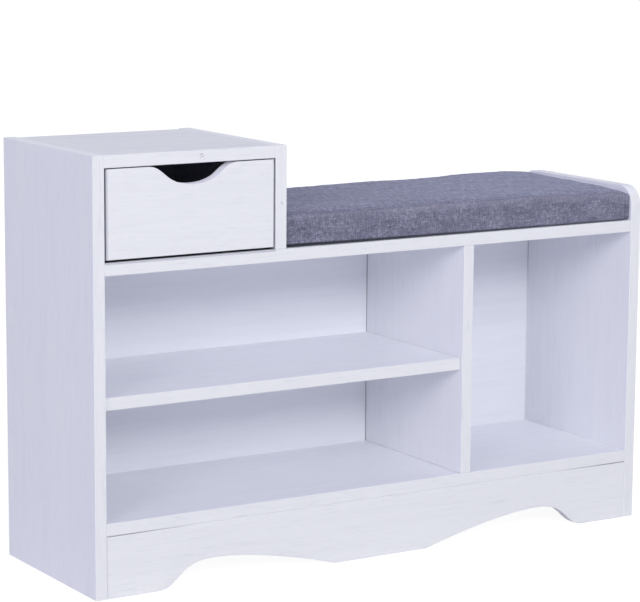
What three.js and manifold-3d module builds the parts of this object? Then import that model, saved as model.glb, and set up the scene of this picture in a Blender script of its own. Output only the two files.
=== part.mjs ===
// Entryway bench: a white melamine shoe bench with a drawer tower on the left and a loose seat cushion.
// Millimetres, +Z up. The origin is on the floor, under the middle of the bench; the front faces -Y.

import * as THREE from 'three';
import { mergeVertices } from 'three/addons/utils/BufferGeometryUtils.js';
import { ConvexGeometry } from 'three/addons/geometries/ConvexGeometry.js';
import Module from 'manifold-3d';

const wasm = await Module();
wasm.setup();

// ---------------------------------------------------------------- driving dimensions

// Whole bench
const benchWidth = 800;
const benchDepth = 240;
const towerHeight = 524;
const seatHeight = 399;
const rimHeight = 44; // how far the right-hand panel stands above the seat board
const rimRadius = 25; // rounded top corners of the right-hand panel

// Boards
const boardThickness = 15;
const edgeBreak = 0.5; // small chamfer left by the edge banding
const jointGap = 0.2; // hairline left where one board butts against another
const crossBoardSetback = 10; // the seat, bottom and tower top stop this far short of the rear edges
const drawerBayWidth = 228.5;
const leftBayWidth = 504;
const shelfHeight = 240; // floor to the top of the middle shelf
const shelfSetback = 4.5;
const shelfEndGap = 0.7;

// Front skirt and its two arches
const skirtHeight = 76;
const outerFootWidth = 86; // from the outer face of a side panel to the start of its arch
const middleFootWidth = 136;
const archRise = 31.5;
const archRiseRun = 72; // length of the steep end of an arch
const slopeShoulder = 0.24; // share of the long slope over which it leaves the crown of the arch
const slopeTurn = 0.63; // share of the long slope at which it bends down to the middle foot
const slopeTurnRise = 0.6; // height of that bend as a share of the arch's rise

// Back panels in grooves
const hardboardThickness = 3;
const backInset = 14; // rear edge of a side panel to the rear face of a back panel
const grooveDepth = 5;
const grooveClearance = 0.3;
const grooveEndClearance = 0.5;

// Drawer front and its finger pull
const drawerGapTop = 1.5;
const drawerGapSide = 2.4;
const drawerGapBottom = 3.2;
const drawerFrontSetback = 1;
const fingerPullWidth = 116;
const fingerPullDepth = 23;
const fingerPullOffset = 3.5; // the pull is routed this far right of the middle

// Drawer box
const drawerBoxThickness = 12;
const drawerBoxHeadroom = 15; // top edge of a drawer side to the tower top
const drawerBoxRearGap = 7; // rear of the drawer box to the back panel
const drawerBoxLift = 15; // seat board to the bottom edge of a drawer side
const drawerBottomRise = 6; // bottom edge of a drawer side to the underside of the drawer bottom

// Roller runners
const runnerSpace = 12.5; // between the bay wall and the drawer side
const runnerSheet = 1.2;
const runnerSetback = 1; // behind the drawer front
const cabinetRunnerRearGap = 6; // rear end of the cabinet channel to the back panel
const drawerRunnerRearGap = 1; // rear end of the drawer runner to the rear of the drawer box
const channelLift = 13; // seat board to the underside of the cabinet channel
const channelHeight = 24;
const channelFlange = 9.5;
const drawerFlangeReach = 10; // how far the drawer runner's flange reaches out over the channel
const flangeGap = 0.8; // between the channel and the flange that passes over it
const runningGap = 0.3; // between a roller and its track
const rollerRadius = 9;
const rollerWidth = 6;
const rollerSideGap = 0.5;
const rollerBoreClearance = 0.3;
const rollerInset = 10; // roller centre to the end of its runner
const channelRelief = 22; // the channel's flanges start this far back, to leave room for the roller
const axleRadius = 2;
const axleHeadRadius = 3.4;
const axleHeadThickness = 1;

// Seat cushion
const cushionThickness = 43;
const cushionDepth = 224;
const cushionSideGap = 1.5;
const cushionFrontSetback = 0.5;
const cushionLift = 0.3; // the nap of the fabric under the cushion
const cushionCornerRadius = 9;
const cushionEdgeRadius = 6;
const coverThickness = 1.2;
const foamClearance = 0.3;
const zipLength = 340;
const zipWidth = 6;
const zipThickness = 1.6;
const zipClearance = 0.3;

// Cam fittings: a turned cam disc with its bolt
const camRadius = 7.5;
const camHeight = 12;
const camSetback = 24; // cam centre to the end of its board
const camSlotWidth = 1.5;
const camSlotDepth = 2;
const boltRadius = 3;
const boltReach = 10; // into the side panel
const fittingClearance = 0.3;
const fittingEdgeDistance = 40; // fitting to the front or rear edge of the board it holds

// Connector screws, shelf pins and dowels
const screwLength = 50;
const screwRadius = 3.3;
const screwHeadRadius = 5;
const screwHeadRim = 1;
const screwHeadHeight = 3.5;
const screwSocketRadius = 2;
const screwSocketDepth = 2.5;
const pinRadius = 2.5;
const pinReach = 9;
const pinLedge = 8;
const pinLedgeHeight = 5;
const pinSetback = 50;
const dowelRadius = 4;
const dowelLength = 30;
const dowelRise = 9; // how far a dowel stands up into the bottom board
const dowelSpacing = 260;

// Facets
const arcSteps = 12;
const cushionArcSteps = 3;
const boreSides = 10;
const camSides = 16;
const rollerSides = 20;

// ---------------------------------------------------------------- positions worked out from them

const leftOuter = -benchWidth / 2;
const rightOuter = benchWidth / 2;
const leftInner = leftOuter + boardThickness;
const rightInner = rightOuter - boardThickness;
const front = -benchDepth / 2;
const rear = benchDepth / 2;
const crossRear = rear - crossBoardSetback;

const seatUnderside = seatHeight - boardThickness;
const bottomTop = skirtHeight + boardThickness;
const shelfUnderside = shelfHeight - boardThickness;
const towerUnderside = towerHeight - boardThickness;

const towerDividerX = [leftInner + drawerBayWidth, leftInner + drawerBayWidth + boardThickness];
const centreDividerX = [leftInner + leftBayWidth, leftInner + leftBayWidth + boardThickness];

const backRear = rear - backInset;
const backFront = backRear - hardboardThickness;

const fittingY = { front: front + fittingEdgeDistance, rear: crossRear - fittingEdgeDistance };

// ---------------------------------------------------------------- materials

function finish(color, roughness, metalness = 0) {
  return new THREE.MeshStandardMaterial({ color, roughness, metalness });
}

const melamine = finish(0xe6e8f0, 0.45);
const drawerBoard = finish(0xd9dbe2, 0.55);
const hardboard = finish(0xdcdfe9, 0.6);
const coatedSteel = finish(0xe9e9ea, 0.35, 0.2);
const nylon = finish(0xf4f4f2, 0.4);
const zinc = finish(0xb9bcc2, 0.35, 0.9);
const beech = finish(0xcfa877, 0.7);
const linen = finish(0x6f7386, 0.95);
const foam = finish(0xf1ead2, 0.95);
const zipTape = finish(0x5a5d6c, 0.8);

// ---------------------------------------------------------------- solids and booleans

// A closed geometry as a solid that can be joined and cut.
function solid(geometry) {
  const bare = geometry.clone();
  bare.deleteAttribute('normal');
  bare.deleteAttribute('uv');
  const merged = mergeVertices(bare);
  const vertProperties = merged.attributes.position.array;
  const triVerts = new Uint32Array(merged.index.array);
  return new wasm.Manifold(new wasm.Mesh({ numProp: 3, vertProperties, triVerts }));
}

function geometryOf(body) {
  const { vertProperties, triVerts } = body.getMesh();
  const geometry = new THREE.BufferGeometry();
  geometry.setAttribute('position', new THREE.BufferAttribute(vertProperties, 3));
  geometry.setIndex(new THREE.BufferAttribute(triVerts, 1));
  geometry.computeVertexNormals();
  return geometry;
}

const pieces = {};

// Keeps a solid as a named piece; a later cut or join works on it by that name.
function make(name, material, body) {
  pieces[name] = { material, body };
}

function cut(name, ...tools) {
  for (const tool of tools) pieces[name].body = pieces[name].body.subtract(tool);
}

// A sharp-edged block between two values on each axis.
function block([x0, x1], [y0, y1], [z0, z1]) {
  const geometry = new THREE.BoxGeometry(x1 - x0, y1 - y0, z1 - z0);
  return solid(geometry.translate((x0 + x1) / 2, (y0 + y1) / 2, (z0 + z1) / 2));
}

// A board: the same block with every edge broken by a small chamfer.
function board(x, y, z) {
  const points = [];
  for (const i of [0, 1]) {
    for (const j of [0, 1]) {
      for (const k of [0, 1]) {
        const outer = [x[i], y[j], z[k]];
        const inner = [i, j, k].map((end, axis) => outer[axis] + (end ? -edgeBreak : edgeBreak));
        for (const flush of [0, 1, 2]) {
          const point = inner.map((value, axis) => (axis === flush ? outer[axis] : value));
          points.push(new THREE.Vector3(...point));
        }
      }
    }
  }
  return solid(new ConvexGeometry(points));
}

// An outline extruded into a board; the outline's axes and the direction of the thickness are given.
function outlinedBoard(shape, thickness, across, up, start) {
  const geometry = new THREE.ExtrudeGeometry(shape, {
    depth: thickness - 2 * edgeBreak,
    bevelEnabled: true,
    bevelThickness: edgeBreak,
    bevelSize: edgeBreak,
    bevelOffset: -edgeBreak,
    bevelSegments: 1,
    curveSegments: arcSteps,
  });
  const along = new THREE.Vector3().crossVectors(across, up);
  const matrix = new THREE.Matrix4().makeBasis(across, up, along);
  geometry.translate(0, 0, edgeBreak).applyMatrix4(matrix);
  return solid(geometry.translate(...start));
}

const axisX = new THREE.Vector3(1, 0, 0);
const axisY = new THREE.Vector3(0, 1, 0);
const axisZ = new THREE.Vector3(0, 0, 1);

// A turned solid: profile points are [radius, distance along the axis], and the axis starts at a point.
function turned(profile, axis, start, sides = boreSides) {
  const points = profile.map(([radius, along]) => new THREE.Vector2(radius, along));
  const geometry = new THREE.LatheGeometry(points, sides);
  const turn = new THREE.Quaternion().setFromUnitVectors(axisY, axis);
  return solid(geometry.applyQuaternion(turn).translate(...start));
}

function rod(radius, length, axis, start, sides = boreSides) {
  return turned([[0, 0], [radius, 0], [radius, length], [0, length]], axis, start, sides);
}

// An S-shaped edge from one level to another: flat at both ends, steeper near its start.
function ogee(shape, x0, z0, x1, z1) {
  const at = (u, v) => [x0 + (x1 - x0) * u, z0 + (z1 - z0) * v];
  shape.bezierCurveTo(...at(0.15, 0.03), ...at(0.245, 0.24), ...at(0.356, 0.465));
  shape.bezierCurveTo(...at(0.49, 0.77), ...at(0.68, 1), ...at(1, 1));
}

// The same edge travelled the other way, from the far level back to the start.
function ogeeBack(shape, x0, z0, x1, z1) {
  const at = (u, v) => [x0 + (x1 - x0) * u, z0 + (z1 - z0) * v];
  shape.bezierCurveTo(...at(0.68, 1), ...at(0.49, 0.77), ...at(0.356, 0.465));
  shape.bezierCurveTo(...at(0.245, 0.24), ...at(0.15, 0.03), ...at(0, 0));
}

// ---------------------------------------------------------------- carcass boards

function rightPanelOutline() {
  const top = seatHeight + rimHeight;
  const shape = new THREE.Shape();
  shape.moveTo(front, 0);
  shape.lineTo(rear, 0);
  shape.lineTo(rear, top - rimRadius);
  shape.absarc(rear - rimRadius, top - rimRadius, rimRadius, 0, Math.PI / 2, false);
  shape.lineTo(front + rimRadius, top);
  shape.absarc(front + rimRadius, top - rimRadius, rimRadius, Math.PI / 2, Math.PI, false);
  shape.closePath();
  return shape;
}

// Each arch rises in a steep S beside its outer foot and runs down in a long slope to the middle foot.
function skirtOutline() {
  const end = rightInner - jointGap;
  const archStart = rightOuter - outerFootWidth;
  const peak = archStart - archRiseRun;
  const middle = middleFootWidth / 2;
  const slope = peak - middle;
  const shoulder = peak - slope * slopeShoulder;
  const turn = peak - slope * slopeTurn;
  const turnHeight = archRise * slopeTurnRise;
  const shape = new THREE.Shape();
  shape.moveTo(-end, skirtHeight - jointGap);
  shape.lineTo(-end, 0);
  shape.lineTo(-archStart, 0);
  ogee(shape, -archStart, 0, -peak, archRise);
  shape.bezierCurveTo(-shoulder, archRise, -turn, turnHeight, -middle, 0);
  shape.lineTo(middle, 0);
  shape.bezierCurveTo(turn, turnHeight, shoulder, archRise, peak, archRise);
  ogeeBack(shape, archStart, 0, peak, archRise);
  shape.lineTo(end, 0);
  shape.lineTo(end, skirtHeight - jointGap);
  shape.closePath();
  return shape;
}

function addCarcass() {
  const fullDepth = [front, rear];
  const crossDepth = [front, crossRear];
  const betweenPanels = [leftInner + jointGap, rightInner - jointGap];
  const bay = [leftInner + jointGap, towerDividerX[0] - jointGap];

  make('left_side_panel', melamine, board([leftOuter, leftInner], fullDepth, [0, towerHeight]));
  make('right_side_panel', melamine,
    outlinedBoard(rightPanelOutline(), boardThickness, axisY, axisZ, [rightInner, 0, 0]));
  make('seat_board', melamine, board(betweenPanels, crossDepth, [seatUnderside, seatHeight]));
  make('bottom_board', melamine, board(betweenPanels, crossDepth, [skirtHeight, bottomTop]));
  make('tower_top', melamine, board(bay, crossDepth, [towerUnderside, towerHeight]));
  make('tower_divider', melamine, board(towerDividerX, fullDepth, [seatHeight + jointGap, towerHeight]));
  make('centre_divider', melamine,
    board(centreDividerX, crossDepth, [bottomTop + jointGap, seatUnderside - jointGap]));
  make('middle_shelf', melamine,
    board([leftInner + shelfEndGap, centreDividerX[0] - shelfEndGap],
      [front + shelfSetback, backFront - grooveClearance], [shelfUnderside, shelfHeight]));
  make('front_skirt', melamine,
    outlinedBoard(skirtOutline(), boardThickness, axisX, axisZ, [0, front + boardThickness, 0]));
}

// ---------------------------------------------------------------- back panels and their grooves

// One hardboard panel fills one bay and enters a groove on each of its four sides.
function addBackPanel(name, [x0, x1], [z0, z1], left, right, below, above) {
  const grown = (low, high, by) => [low - by, high + by];
  const reach = grooveDepth - grooveEndClearance;
  make(name, hardboard, block(grown(x0, x1, reach), [backFront, backRear], grown(z0, z1, reach)));
  const grooveY = grown(backFront, backRear, grooveClearance);
  cut(left, block([x0 - grooveDepth, x0 + 1], grooveY, grown(z0, z1, grooveDepth)));
  cut(right, block([x1 - 1, x1 + grooveDepth], grooveY, grown(z0, z1, grooveDepth)));
  cut(below, block(grown(x0, x1, grooveDepth), grooveY, [z0 - grooveDepth, z0 + 1]));
  cut(above, block(grown(x0, x1, grooveDepth), grooveY, [z1 - 1, z1 + grooveDepth]));
}

function addBackPanels() {
  const lower = [bottomTop, seatUnderside];
  addBackPanel('back_panel_left', [leftInner, centreDividerX[0]], lower,
    'left_side_panel', 'centre_divider', 'bottom_board', 'seat_board');
  addBackPanel('back_panel_right', [centreDividerX[1], rightInner], lower,
    'centre_divider', 'right_side_panel', 'bottom_board', 'seat_board');
  addBackPanel('back_panel_tower', [leftInner, towerDividerX[0]], [seatHeight, towerUnderside],
    'left_side_panel', 'tower_divider', 'seat_board', 'tower_top');
}

// ---------------------------------------------------------------- cam fittings, screws, pins and dowels

// Drawn with the cam's open face at z = 0, the board above it and the bolt along +X, then placed by a matrix.
// `grow` makes the cutter for the bores out of the same shape.
function camShape(grow, matrix) {
  const mouth = grow ? 1 : 0;
  const cam = rod(camRadius + grow, camHeight + grow + mouth, axisZ, [0, 0, -mouth], camSides);
  const bolt = rod(boltRadius + grow, camSetback + boltReach + grow, axisX, [0, 0, boardThickness / 2]);
  return cam.add(bolt).transform(matrix.elements);
}

function addCamFitting(name, boardName, panelName, matrix) {
  const slot = new THREE.BoxGeometry(2 * camRadius - 4, camSlotWidth, 2 * camSlotDepth).applyMatrix4(matrix);
  make(name, zinc, camShape(0, matrix).subtract(solid(slot)));
  const bores = camShape(fittingClearance, matrix);
  cut(boardName, bores);
  cut(panelName, bores);
}

function addCamFittings() {
  const joints = [
    ['seat', 'seat_board', seatUnderside, rightInner, 'right_side_panel'],
    ['bottom', 'bottom_board', skirtHeight, rightInner, 'right_side_panel'],
    ['tower', 'tower_top', towerUnderside, towerDividerX[0], 'tower_divider'],
  ];
  for (const [label, boardName, underside, rightFace, rightPanel] of joints) {
    for (const [row, y] of Object.entries(fittingY)) {
      const right = new THREE.Matrix4().makeTranslation(rightFace - camSetback, y, underside);
      const left = new THREE.Matrix4().makeTranslation(leftInner + camSetback, y, underside)
        .multiply(new THREE.Matrix4().makeRotationZ(Math.PI));
      addCamFitting(`cam_${label}_right_${row}`, boardName, rightPanel, right);
      addCamFitting(`cam_${label}_left_${row}`, boardName, 'left_side_panel', left);
    }
  }
  // The skirt is held by one fitting at each end, turned so that the cam opens on its rear face.
  const skirtZ = (skirtHeight + archRise) / 2;
  for (const [side, panelName, turn] of [[-1, 'left_side_panel', Math.PI], [1, 'right_side_panel', 0]]) {
    const matrix = new THREE.Matrix4()
      .makeTranslation(side * (rightInner - camSetback), front + boardThickness, skirtZ)
      .multiply(new THREE.Matrix4().makeRotationX(Math.PI / 2))
      .multiply(new THREE.Matrix4().makeRotationZ(turn));
    addCamFitting(`cam_skirt_${side < 0 ? 'left' : 'right'}`, 'front_skirt', panelName, matrix);
  }
}

// A connector screw starts with its head flush in one board and runs on into the edge of another.
function addConnectorScrew(name, axis, start, throughBoard, intoBoard) {
  const shape = [
    [0, screwSocketDepth], [screwSocketRadius, screwSocketDepth], [screwSocketRadius, 0],
    [screwHeadRadius, 0], [screwHeadRadius, screwHeadRim], [screwRadius, screwHeadHeight],
    [screwRadius, screwLength - 2 * screwRadius], [0, screwLength],
  ];
  make(name, zinc, turned(shape, axis, start));
  const head = screwHeadRadius + fittingClearance;
  const shank = screwRadius + fittingClearance;
  const bore = turned([
    [0, -1], [head, -1], [head, screwHeadRim], [shank, screwHeadHeight], [shank, screwLength],
    [0, screwLength + fittingClearance],
  ], axis, start);
  cut(throughBoard, bore);
  cut(intoBoard, bore);
}

function addConnectorScrews() {
  const centreX = (centreDividerX[0] + centreDividerX[1]) / 2;
  const towerX = (towerDividerX[0] + towerDividerX[1]) / 2;
  const down = axisZ.clone().negate();
  for (const [row, y] of Object.entries(fittingY)) {
    addConnectorScrew(`screw_centre_top_${row}`, down, [centreX, y, seatHeight],
      'seat_board', 'centre_divider');
    addConnectorScrew(`screw_centre_bottom_${row}`, axisZ, [centreX, y, skirtHeight],
      'bottom_board', 'centre_divider');
    addConnectorScrew(`screw_tower_${row}`, axisZ, [towerX, y, seatUnderside], 'seat_board', 'tower_divider');
  }
}

// A shelf pin plugs into an upright and gives the loose shelf a small flat ledge.
function addShelfPins() {
  const ledgeZ = [shelfUnderside - pinLedgeHeight, shelfUnderside];
  const shelfRear = backFront - grooveClearance;
  const rows = { front: front + shelfSetback + pinSetback, rear: shelfRear - pinSetback };
  const walls = [
    ['left', leftInner, 1, 'left_side_panel'],
    ['right', centreDividerX[0], -1, 'centre_divider'],
  ];
  for (const [label, face, inward, upright] of walls) {
    for (const [row, y] of Object.entries(rows)) {
      const out = axisX.clone().multiplyScalar(-inward);
      const z = shelfUnderside - pinLedgeHeight / 2;
      const ledgeX = [face, face + inward * pinLedge].sort((a, b) => a - b);
      const start = [face + inward, y, z];
      const ledge = block(ledgeX, [y - pinLedge / 2, y + pinLedge / 2], ledgeZ);
      make(`shelf_pin_${label}_${row}`, zinc, ledge.add(rod(pinRadius, 1 + pinReach, out, start)));
      cut(upright, rod(pinRadius + fittingClearance, 1 + pinReach + fittingClearance, out, start));
    }
  }
}

function addSkirtDowels() {
  const y = front + boardThickness / 2;
  const foot = skirtHeight + dowelRise - dowelLength;
  for (const [label, side] of [['left', -1], ['right', 1]]) {
    const x = side * dowelSpacing / 2;
    make(`dowel_skirt_${label}`, beech, rod(dowelRadius, dowelLength, axisZ, [x, y, foot]));
    const bore = rod(dowelRadius + fittingClearance, dowelLength + 2 * fittingClearance, axisZ,
      [x, y, foot - fittingClearance]);
    cut('front_skirt', bore);
    cut('bottom_board', bore);
  }
}

// ---------------------------------------------------------------- drawer

const bayCentre = (leftInner + towerDividerX[0]) / 2;
const drawerBoxHalf = drawerBayWidth / 2 - runnerSpace;
const drawerFrontRear = front + drawerFrontSetback + boardThickness;
const drawerBoxRear = backFront - drawerBoxRearGap;
const drawerBoxBase = seatHeight + drawerBoxLift;
const drawerBoxTop = towerUnderside - drawerBoxHeadroom;
const drawerBottomZ = drawerBoxBase + drawerBottomRise;

function drawerFrontOutline() {
  const half = drawerBayWidth / 2 - drawerGapSide;
  const base = seatHeight + drawerGapBottom;
  const top = towerUnderside - drawerGapTop;
  const pull = fingerPullWidth / 2;
  const pullFoot = top - fingerPullDepth;
  const shape = new THREE.Shape();
  shape.moveTo(half, base);
  shape.lineTo(half, top);
  shape.lineTo(fingerPullOffset + pull, top);
  ogee(shape, fingerPullOffset + pull, top, fingerPullOffset, pullFoot);
  ogeeBack(shape, fingerPullOffset - pull, top, fingerPullOffset, pullFoot);
  shape.lineTo(-half, top);
  shape.lineTo(-half, base);
  shape.closePath();
  return shape;
}

function addDrawer() {
  const boxY = [drawerFrontRear + jointGap, drawerBoxRear];
  const boxZ = [drawerBoxBase, drawerBoxTop];
  const innerHalf = drawerBoxHalf - drawerBoxThickness;
  const bottomTopZ = drawerBottomZ + hardboardThickness;

  make('drawer_front', melamine,
    outlinedBoard(drawerFrontOutline(), boardThickness, axisX, axisZ, [bayCentre, drawerFrontRear, 0]));
  make('drawer_side_left', drawerBoard,
    board([bayCentre - drawerBoxHalf, bayCentre - innerHalf], boxY, boxZ));
  make('drawer_side_right', drawerBoard,
    board([bayCentre + innerHalf, bayCentre + drawerBoxHalf], boxY, boxZ));
  make('drawer_back', drawerBoard,
    board([bayCentre - innerHalf + jointGap, bayCentre + innerHalf - jointGap],
      [drawerBoxRear - drawerBoxThickness, drawerBoxRear], [bottomTopZ + grooveClearance, drawerBoxTop]));

  // The drawer bottom slides in under the back, along grooves in the sides and the front.
  const reach = grooveDepth - grooveEndClearance;
  const width = [bayCentre - innerHalf - reach, bayCentre + innerHalf + reach];
  make('drawer_bottom', hardboard,
    block(width, [drawerFrontRear - reach, drawerBoxRear], [drawerBottomZ, bottomTopZ]));
  const groove = block([bayCentre - innerHalf - grooveDepth, bayCentre + innerHalf + grooveDepth],
    [drawerFrontRear - grooveDepth, drawerBoxRear + 1],
    [drawerBottomZ - grooveClearance, bottomTopZ + grooveClearance]);
  for (const name of ['drawer_front', 'drawer_side_left', 'drawer_side_right']) cut(name, groove);
}

// ---------------------------------------------------------------- roller runners

const runnerFront = drawerFrontRear + runnerSetback;
const channelBase = seatHeight + channelLift;
const channelTop = channelBase + channelHeight;
const drawerFlangeUnderside = channelTop + flangeGap;
const cabinetRunnerLength = backFront - cabinetRunnerRearGap - runnerFront;
const drawerRunnerLength = drawerBoxRear - drawerRunnerRearGap - runnerFront;

// A sheet-steel profile beside the bay wall: points are [distance from the wall, height].
function runnerProfile(side, points, length) {
  const shape = new THREE.Shape();
  points.forEach(([fromWall, z], i) => {
    const x = bayCentre + side * (drawerBayWidth / 2 - fromWall);
    if (i === 0) shape.moveTo(x, z);
    else shape.lineTo(x, z);
  });
  shape.closePath();
  const geometry = new THREE.ExtrudeGeometry(shape, { depth: length, bevelEnabled: false });
  return solid(geometry.rotateX(Math.PI / 2).translate(0, runnerFront + length, 0));
}

// A riveted axle with a head at its free end; it starts inside the sheet that carries it.
function axle(direction, start) {
  const reach = runnerSheet + rollerWidth + 2 * rollerSideGap;
  const profile = [
    [0, 0], [axleRadius, 0], [axleRadius, reach], [axleHeadRadius, reach],
    [axleHeadRadius, reach + axleHeadThickness], [0, reach + axleHeadThickness],
  ];
  return turned(profile, axisX.clone().multiplyScalar(direction), start);
}

// A nylon roller, drawn round its own centre.
function addRoller(name, centre) {
  const bore = axleRadius + rollerBoreClearance;
  const half = rollerWidth / 2;
  const ring = [[bore, -half], [rollerRadius, -half], [rollerRadius, half], [bore, half], [bore, -half]];
  make(name, nylon, turned(ring, axisX, [0, 0, 0], rollerSides));
  pieces[name].position = new THREE.Vector3(...centre);
}

function addCabinetRunner(label, side) {
  const wallX = bayCentre + side * drawerBayWidth / 2;
  const inner = channelFlange;
  const channel = runnerProfile(side, [
    [0, channelBase], [inner, channelBase], [inner, channelBase + runnerSheet],
    [runnerSheet, channelBase + runnerSheet], [runnerSheet, channelTop - runnerSheet],
    [inner, channelTop - runnerSheet], [inner, channelTop], [0, channelTop],
  ], cabinetRunnerLength);
  const reliefX = [wallX - side * runnerSheet, wallX - side * (inner + 1)].sort((a, b) => a - b);
  const reliefY = [runnerFront - 1, runnerFront + channelRelief];
  const relief = block(reliefX, reliefY, [channelBase - 1, channelTop + 1]);
  const axleY = runnerFront + rollerInset;
  const axleZ = drawerFlangeUnderside - runningGap - rollerRadius;
  make(`cabinet_runner_${label}`, coatedSteel,
    channel.subtract(relief).add(axle(-side, [wallX, axleY, axleZ])));
  const rollerX = wallX - side * (runnerSheet + rollerSideGap + rollerWidth / 2);
  addRoller(`cabinet_roller_${label}`, [rollerX, axleY, axleZ]);
}

function addDrawerRunner(label, side) {
  const flangeTop = drawerFlangeUnderside + runnerSheet;
  const outerFace = runnerSpace - runnerSheet;
  const profile = runnerProfile(side, [
    [runnerSpace - drawerFlangeReach, drawerFlangeUnderside], [runnerSpace - drawerFlangeReach, flangeTop],
    [runnerSpace, flangeTop], [runnerSpace, drawerBoxBase],
    [runnerSpace + drawerBoxThickness, drawerBoxBase],
    [runnerSpace + drawerBoxThickness, drawerBoxBase - runnerSheet],
    [outerFace, drawerBoxBase - runnerSheet], [outerFace, drawerFlangeUnderside],
  ], drawerRunnerLength);
  const webX = bayCentre + side * (drawerBayWidth / 2 - runnerSpace);
  const axleY = runnerFront + drawerRunnerLength - rollerInset;
  const axleZ = channelBase + runnerSheet + runningGap + rollerRadius;
  make(`drawer_runner_${label}`, coatedSteel, profile.add(axle(side, [webX, axleY, axleZ])));
  const rollerX = webX + side * (runnerSheet + rollerSideGap + rollerWidth / 2);
  addRoller(`drawer_roller_${label}`, [rollerX, axleY, axleZ]);
}

// ---------------------------------------------------------------- cushion

// A block with rounded corners and edges; `inset` shrinks it evenly on every side.
function cushionBlock(length, inset) {
  const x = length / 2 - inset;
  const y = cushionDepth / 2 - inset;
  const height = cushionThickness - 2 * inset;
  const corner = cushionCornerRadius - inset;
  const edge = cushionEdgeRadius - inset;
  const shape = new THREE.Shape();
  shape.moveTo(-x + corner, -y);
  shape.lineTo(x - corner, -y);
  shape.absarc(x - corner, -y + corner, corner, -Math.PI / 2, 0, false);
  shape.lineTo(x, y - corner);
  shape.absarc(x - corner, y - corner, corner, 0, Math.PI / 2, false);
  shape.lineTo(-x + corner, y);
  shape.absarc(-x + corner, y - corner, corner, Math.PI / 2, Math.PI, false);
  shape.lineTo(-x, -y + corner);
  shape.absarc(-x + corner, -y + corner, corner, Math.PI, 1.5 * Math.PI, false);
  const geometry = new THREE.ExtrudeGeometry(shape, {
    depth: height - 2 * edge,
    bevelEnabled: true,
    bevelThickness: edge,
    bevelSize: edge,
    bevelOffset: -edge,
    bevelSegments: cushionArcSteps,
    curveSegments: cushionArcSteps,
  });
  return solid(geometry.translate(0, 0, inset + edge));
}

function addCushion() {
  const x0 = towerDividerX[1] + cushionSideGap;
  const x1 = rightInner - cushionSideGap;
  const y0 = front + cushionFrontSetback;
  const place = [(x0 + x1) / 2, y0 + cushionDepth / 2, seatHeight + cushionLift];
  const length = x1 - x0;
  const rearFace = cushionDepth / 2;
  const zipZ = cushionThickness / 2;
  const slot = block([-zipLength / 2 - zipClearance, zipLength / 2 + zipClearance],
    [rearFace - coverThickness - foamClearance / 2, rearFace + 1],
    [zipZ - zipWidth / 2 - zipClearance, zipZ + zipWidth / 2 + zipClearance]);
  const cover = cushionBlock(length, 0).subtract(cushionBlock(length, coverThickness)).subtract(slot);
  const filling = cushionBlock(length, coverThickness + foamClearance);
  const zipFront = rearFace - coverThickness;
  const zip = block([-zipLength / 2, zipLength / 2], [zipFront, zipFront + zipThickness],
    [zipZ - zipWidth / 2, zipZ + zipWidth / 2]);
  for (const [name, material, body] of [
    ['cushion_cover', linen, cover], ['cushion_foam', foam, filling], ['cushion_zip', zipTape, zip],
  ]) {
    make(name, material, body);
    pieces[name].position = new THREE.Vector3(...place);
  }
}

// ---------------------------------------------------------------- assembly

addCarcass();
addBackPanels();
addCamFittings();
addConnectorScrews();
addShelfPins();
addSkirtDowels();
addDrawer();
for (const [label, side] of [['left', -1], ['right', 1]]) {
  addCabinetRunner(label, side);
  addDrawerRunner(label, side);
}
addCushion();

const bench = new THREE.Group();
for (const [name, { material, body, position }] of Object.entries(pieces)) {
  const mesh = new THREE.Mesh(geometryOf(body), material);
  mesh.name = name;
  if (position) mesh.position.copy(position);
  bench.add(mesh);
}

export default bench;
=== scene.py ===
# %% [markdown]
# # An entryway bench
# This notebook dresses an entryway shoe bench: a white foil-faced carcass, a drawer tower and a
# loose seat cushion. The boards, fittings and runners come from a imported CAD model, and every
# object here shares its frame: metres, Z up, the floor at zero, and the front facing -Y.
# What is left to Blender is what CAD is poor at: finishes, soft cloth, thread and screw heads.

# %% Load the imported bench
import itertools
import math

import bmesh
import bpy
import numpy as np
from mathutils import Matrix, Vector, noise
from mathutils.bvhtree import BVHTree


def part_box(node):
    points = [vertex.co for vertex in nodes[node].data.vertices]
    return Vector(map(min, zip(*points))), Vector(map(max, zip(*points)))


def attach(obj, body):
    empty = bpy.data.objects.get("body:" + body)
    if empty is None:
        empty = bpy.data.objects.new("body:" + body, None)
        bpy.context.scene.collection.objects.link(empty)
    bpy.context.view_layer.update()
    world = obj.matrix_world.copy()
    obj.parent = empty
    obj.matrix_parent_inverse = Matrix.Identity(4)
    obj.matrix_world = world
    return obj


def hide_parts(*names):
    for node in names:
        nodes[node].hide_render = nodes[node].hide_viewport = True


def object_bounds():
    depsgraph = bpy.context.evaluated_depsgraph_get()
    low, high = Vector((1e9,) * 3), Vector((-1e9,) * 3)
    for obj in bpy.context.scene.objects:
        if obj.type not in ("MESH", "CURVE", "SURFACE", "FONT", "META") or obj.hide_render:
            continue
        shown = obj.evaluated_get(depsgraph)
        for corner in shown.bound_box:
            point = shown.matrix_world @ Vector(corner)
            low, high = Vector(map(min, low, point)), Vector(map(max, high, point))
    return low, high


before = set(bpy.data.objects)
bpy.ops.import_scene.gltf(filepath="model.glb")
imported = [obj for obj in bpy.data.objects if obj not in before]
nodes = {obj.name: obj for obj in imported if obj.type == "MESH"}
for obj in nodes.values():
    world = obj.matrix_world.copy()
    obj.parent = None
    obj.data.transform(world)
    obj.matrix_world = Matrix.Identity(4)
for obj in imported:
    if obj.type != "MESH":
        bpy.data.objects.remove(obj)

cad_low, cad_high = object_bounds()
print(len(nodes), "CAD pieces, box", [round(v, 4) for v in (*cad_low, *cad_high)])

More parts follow.
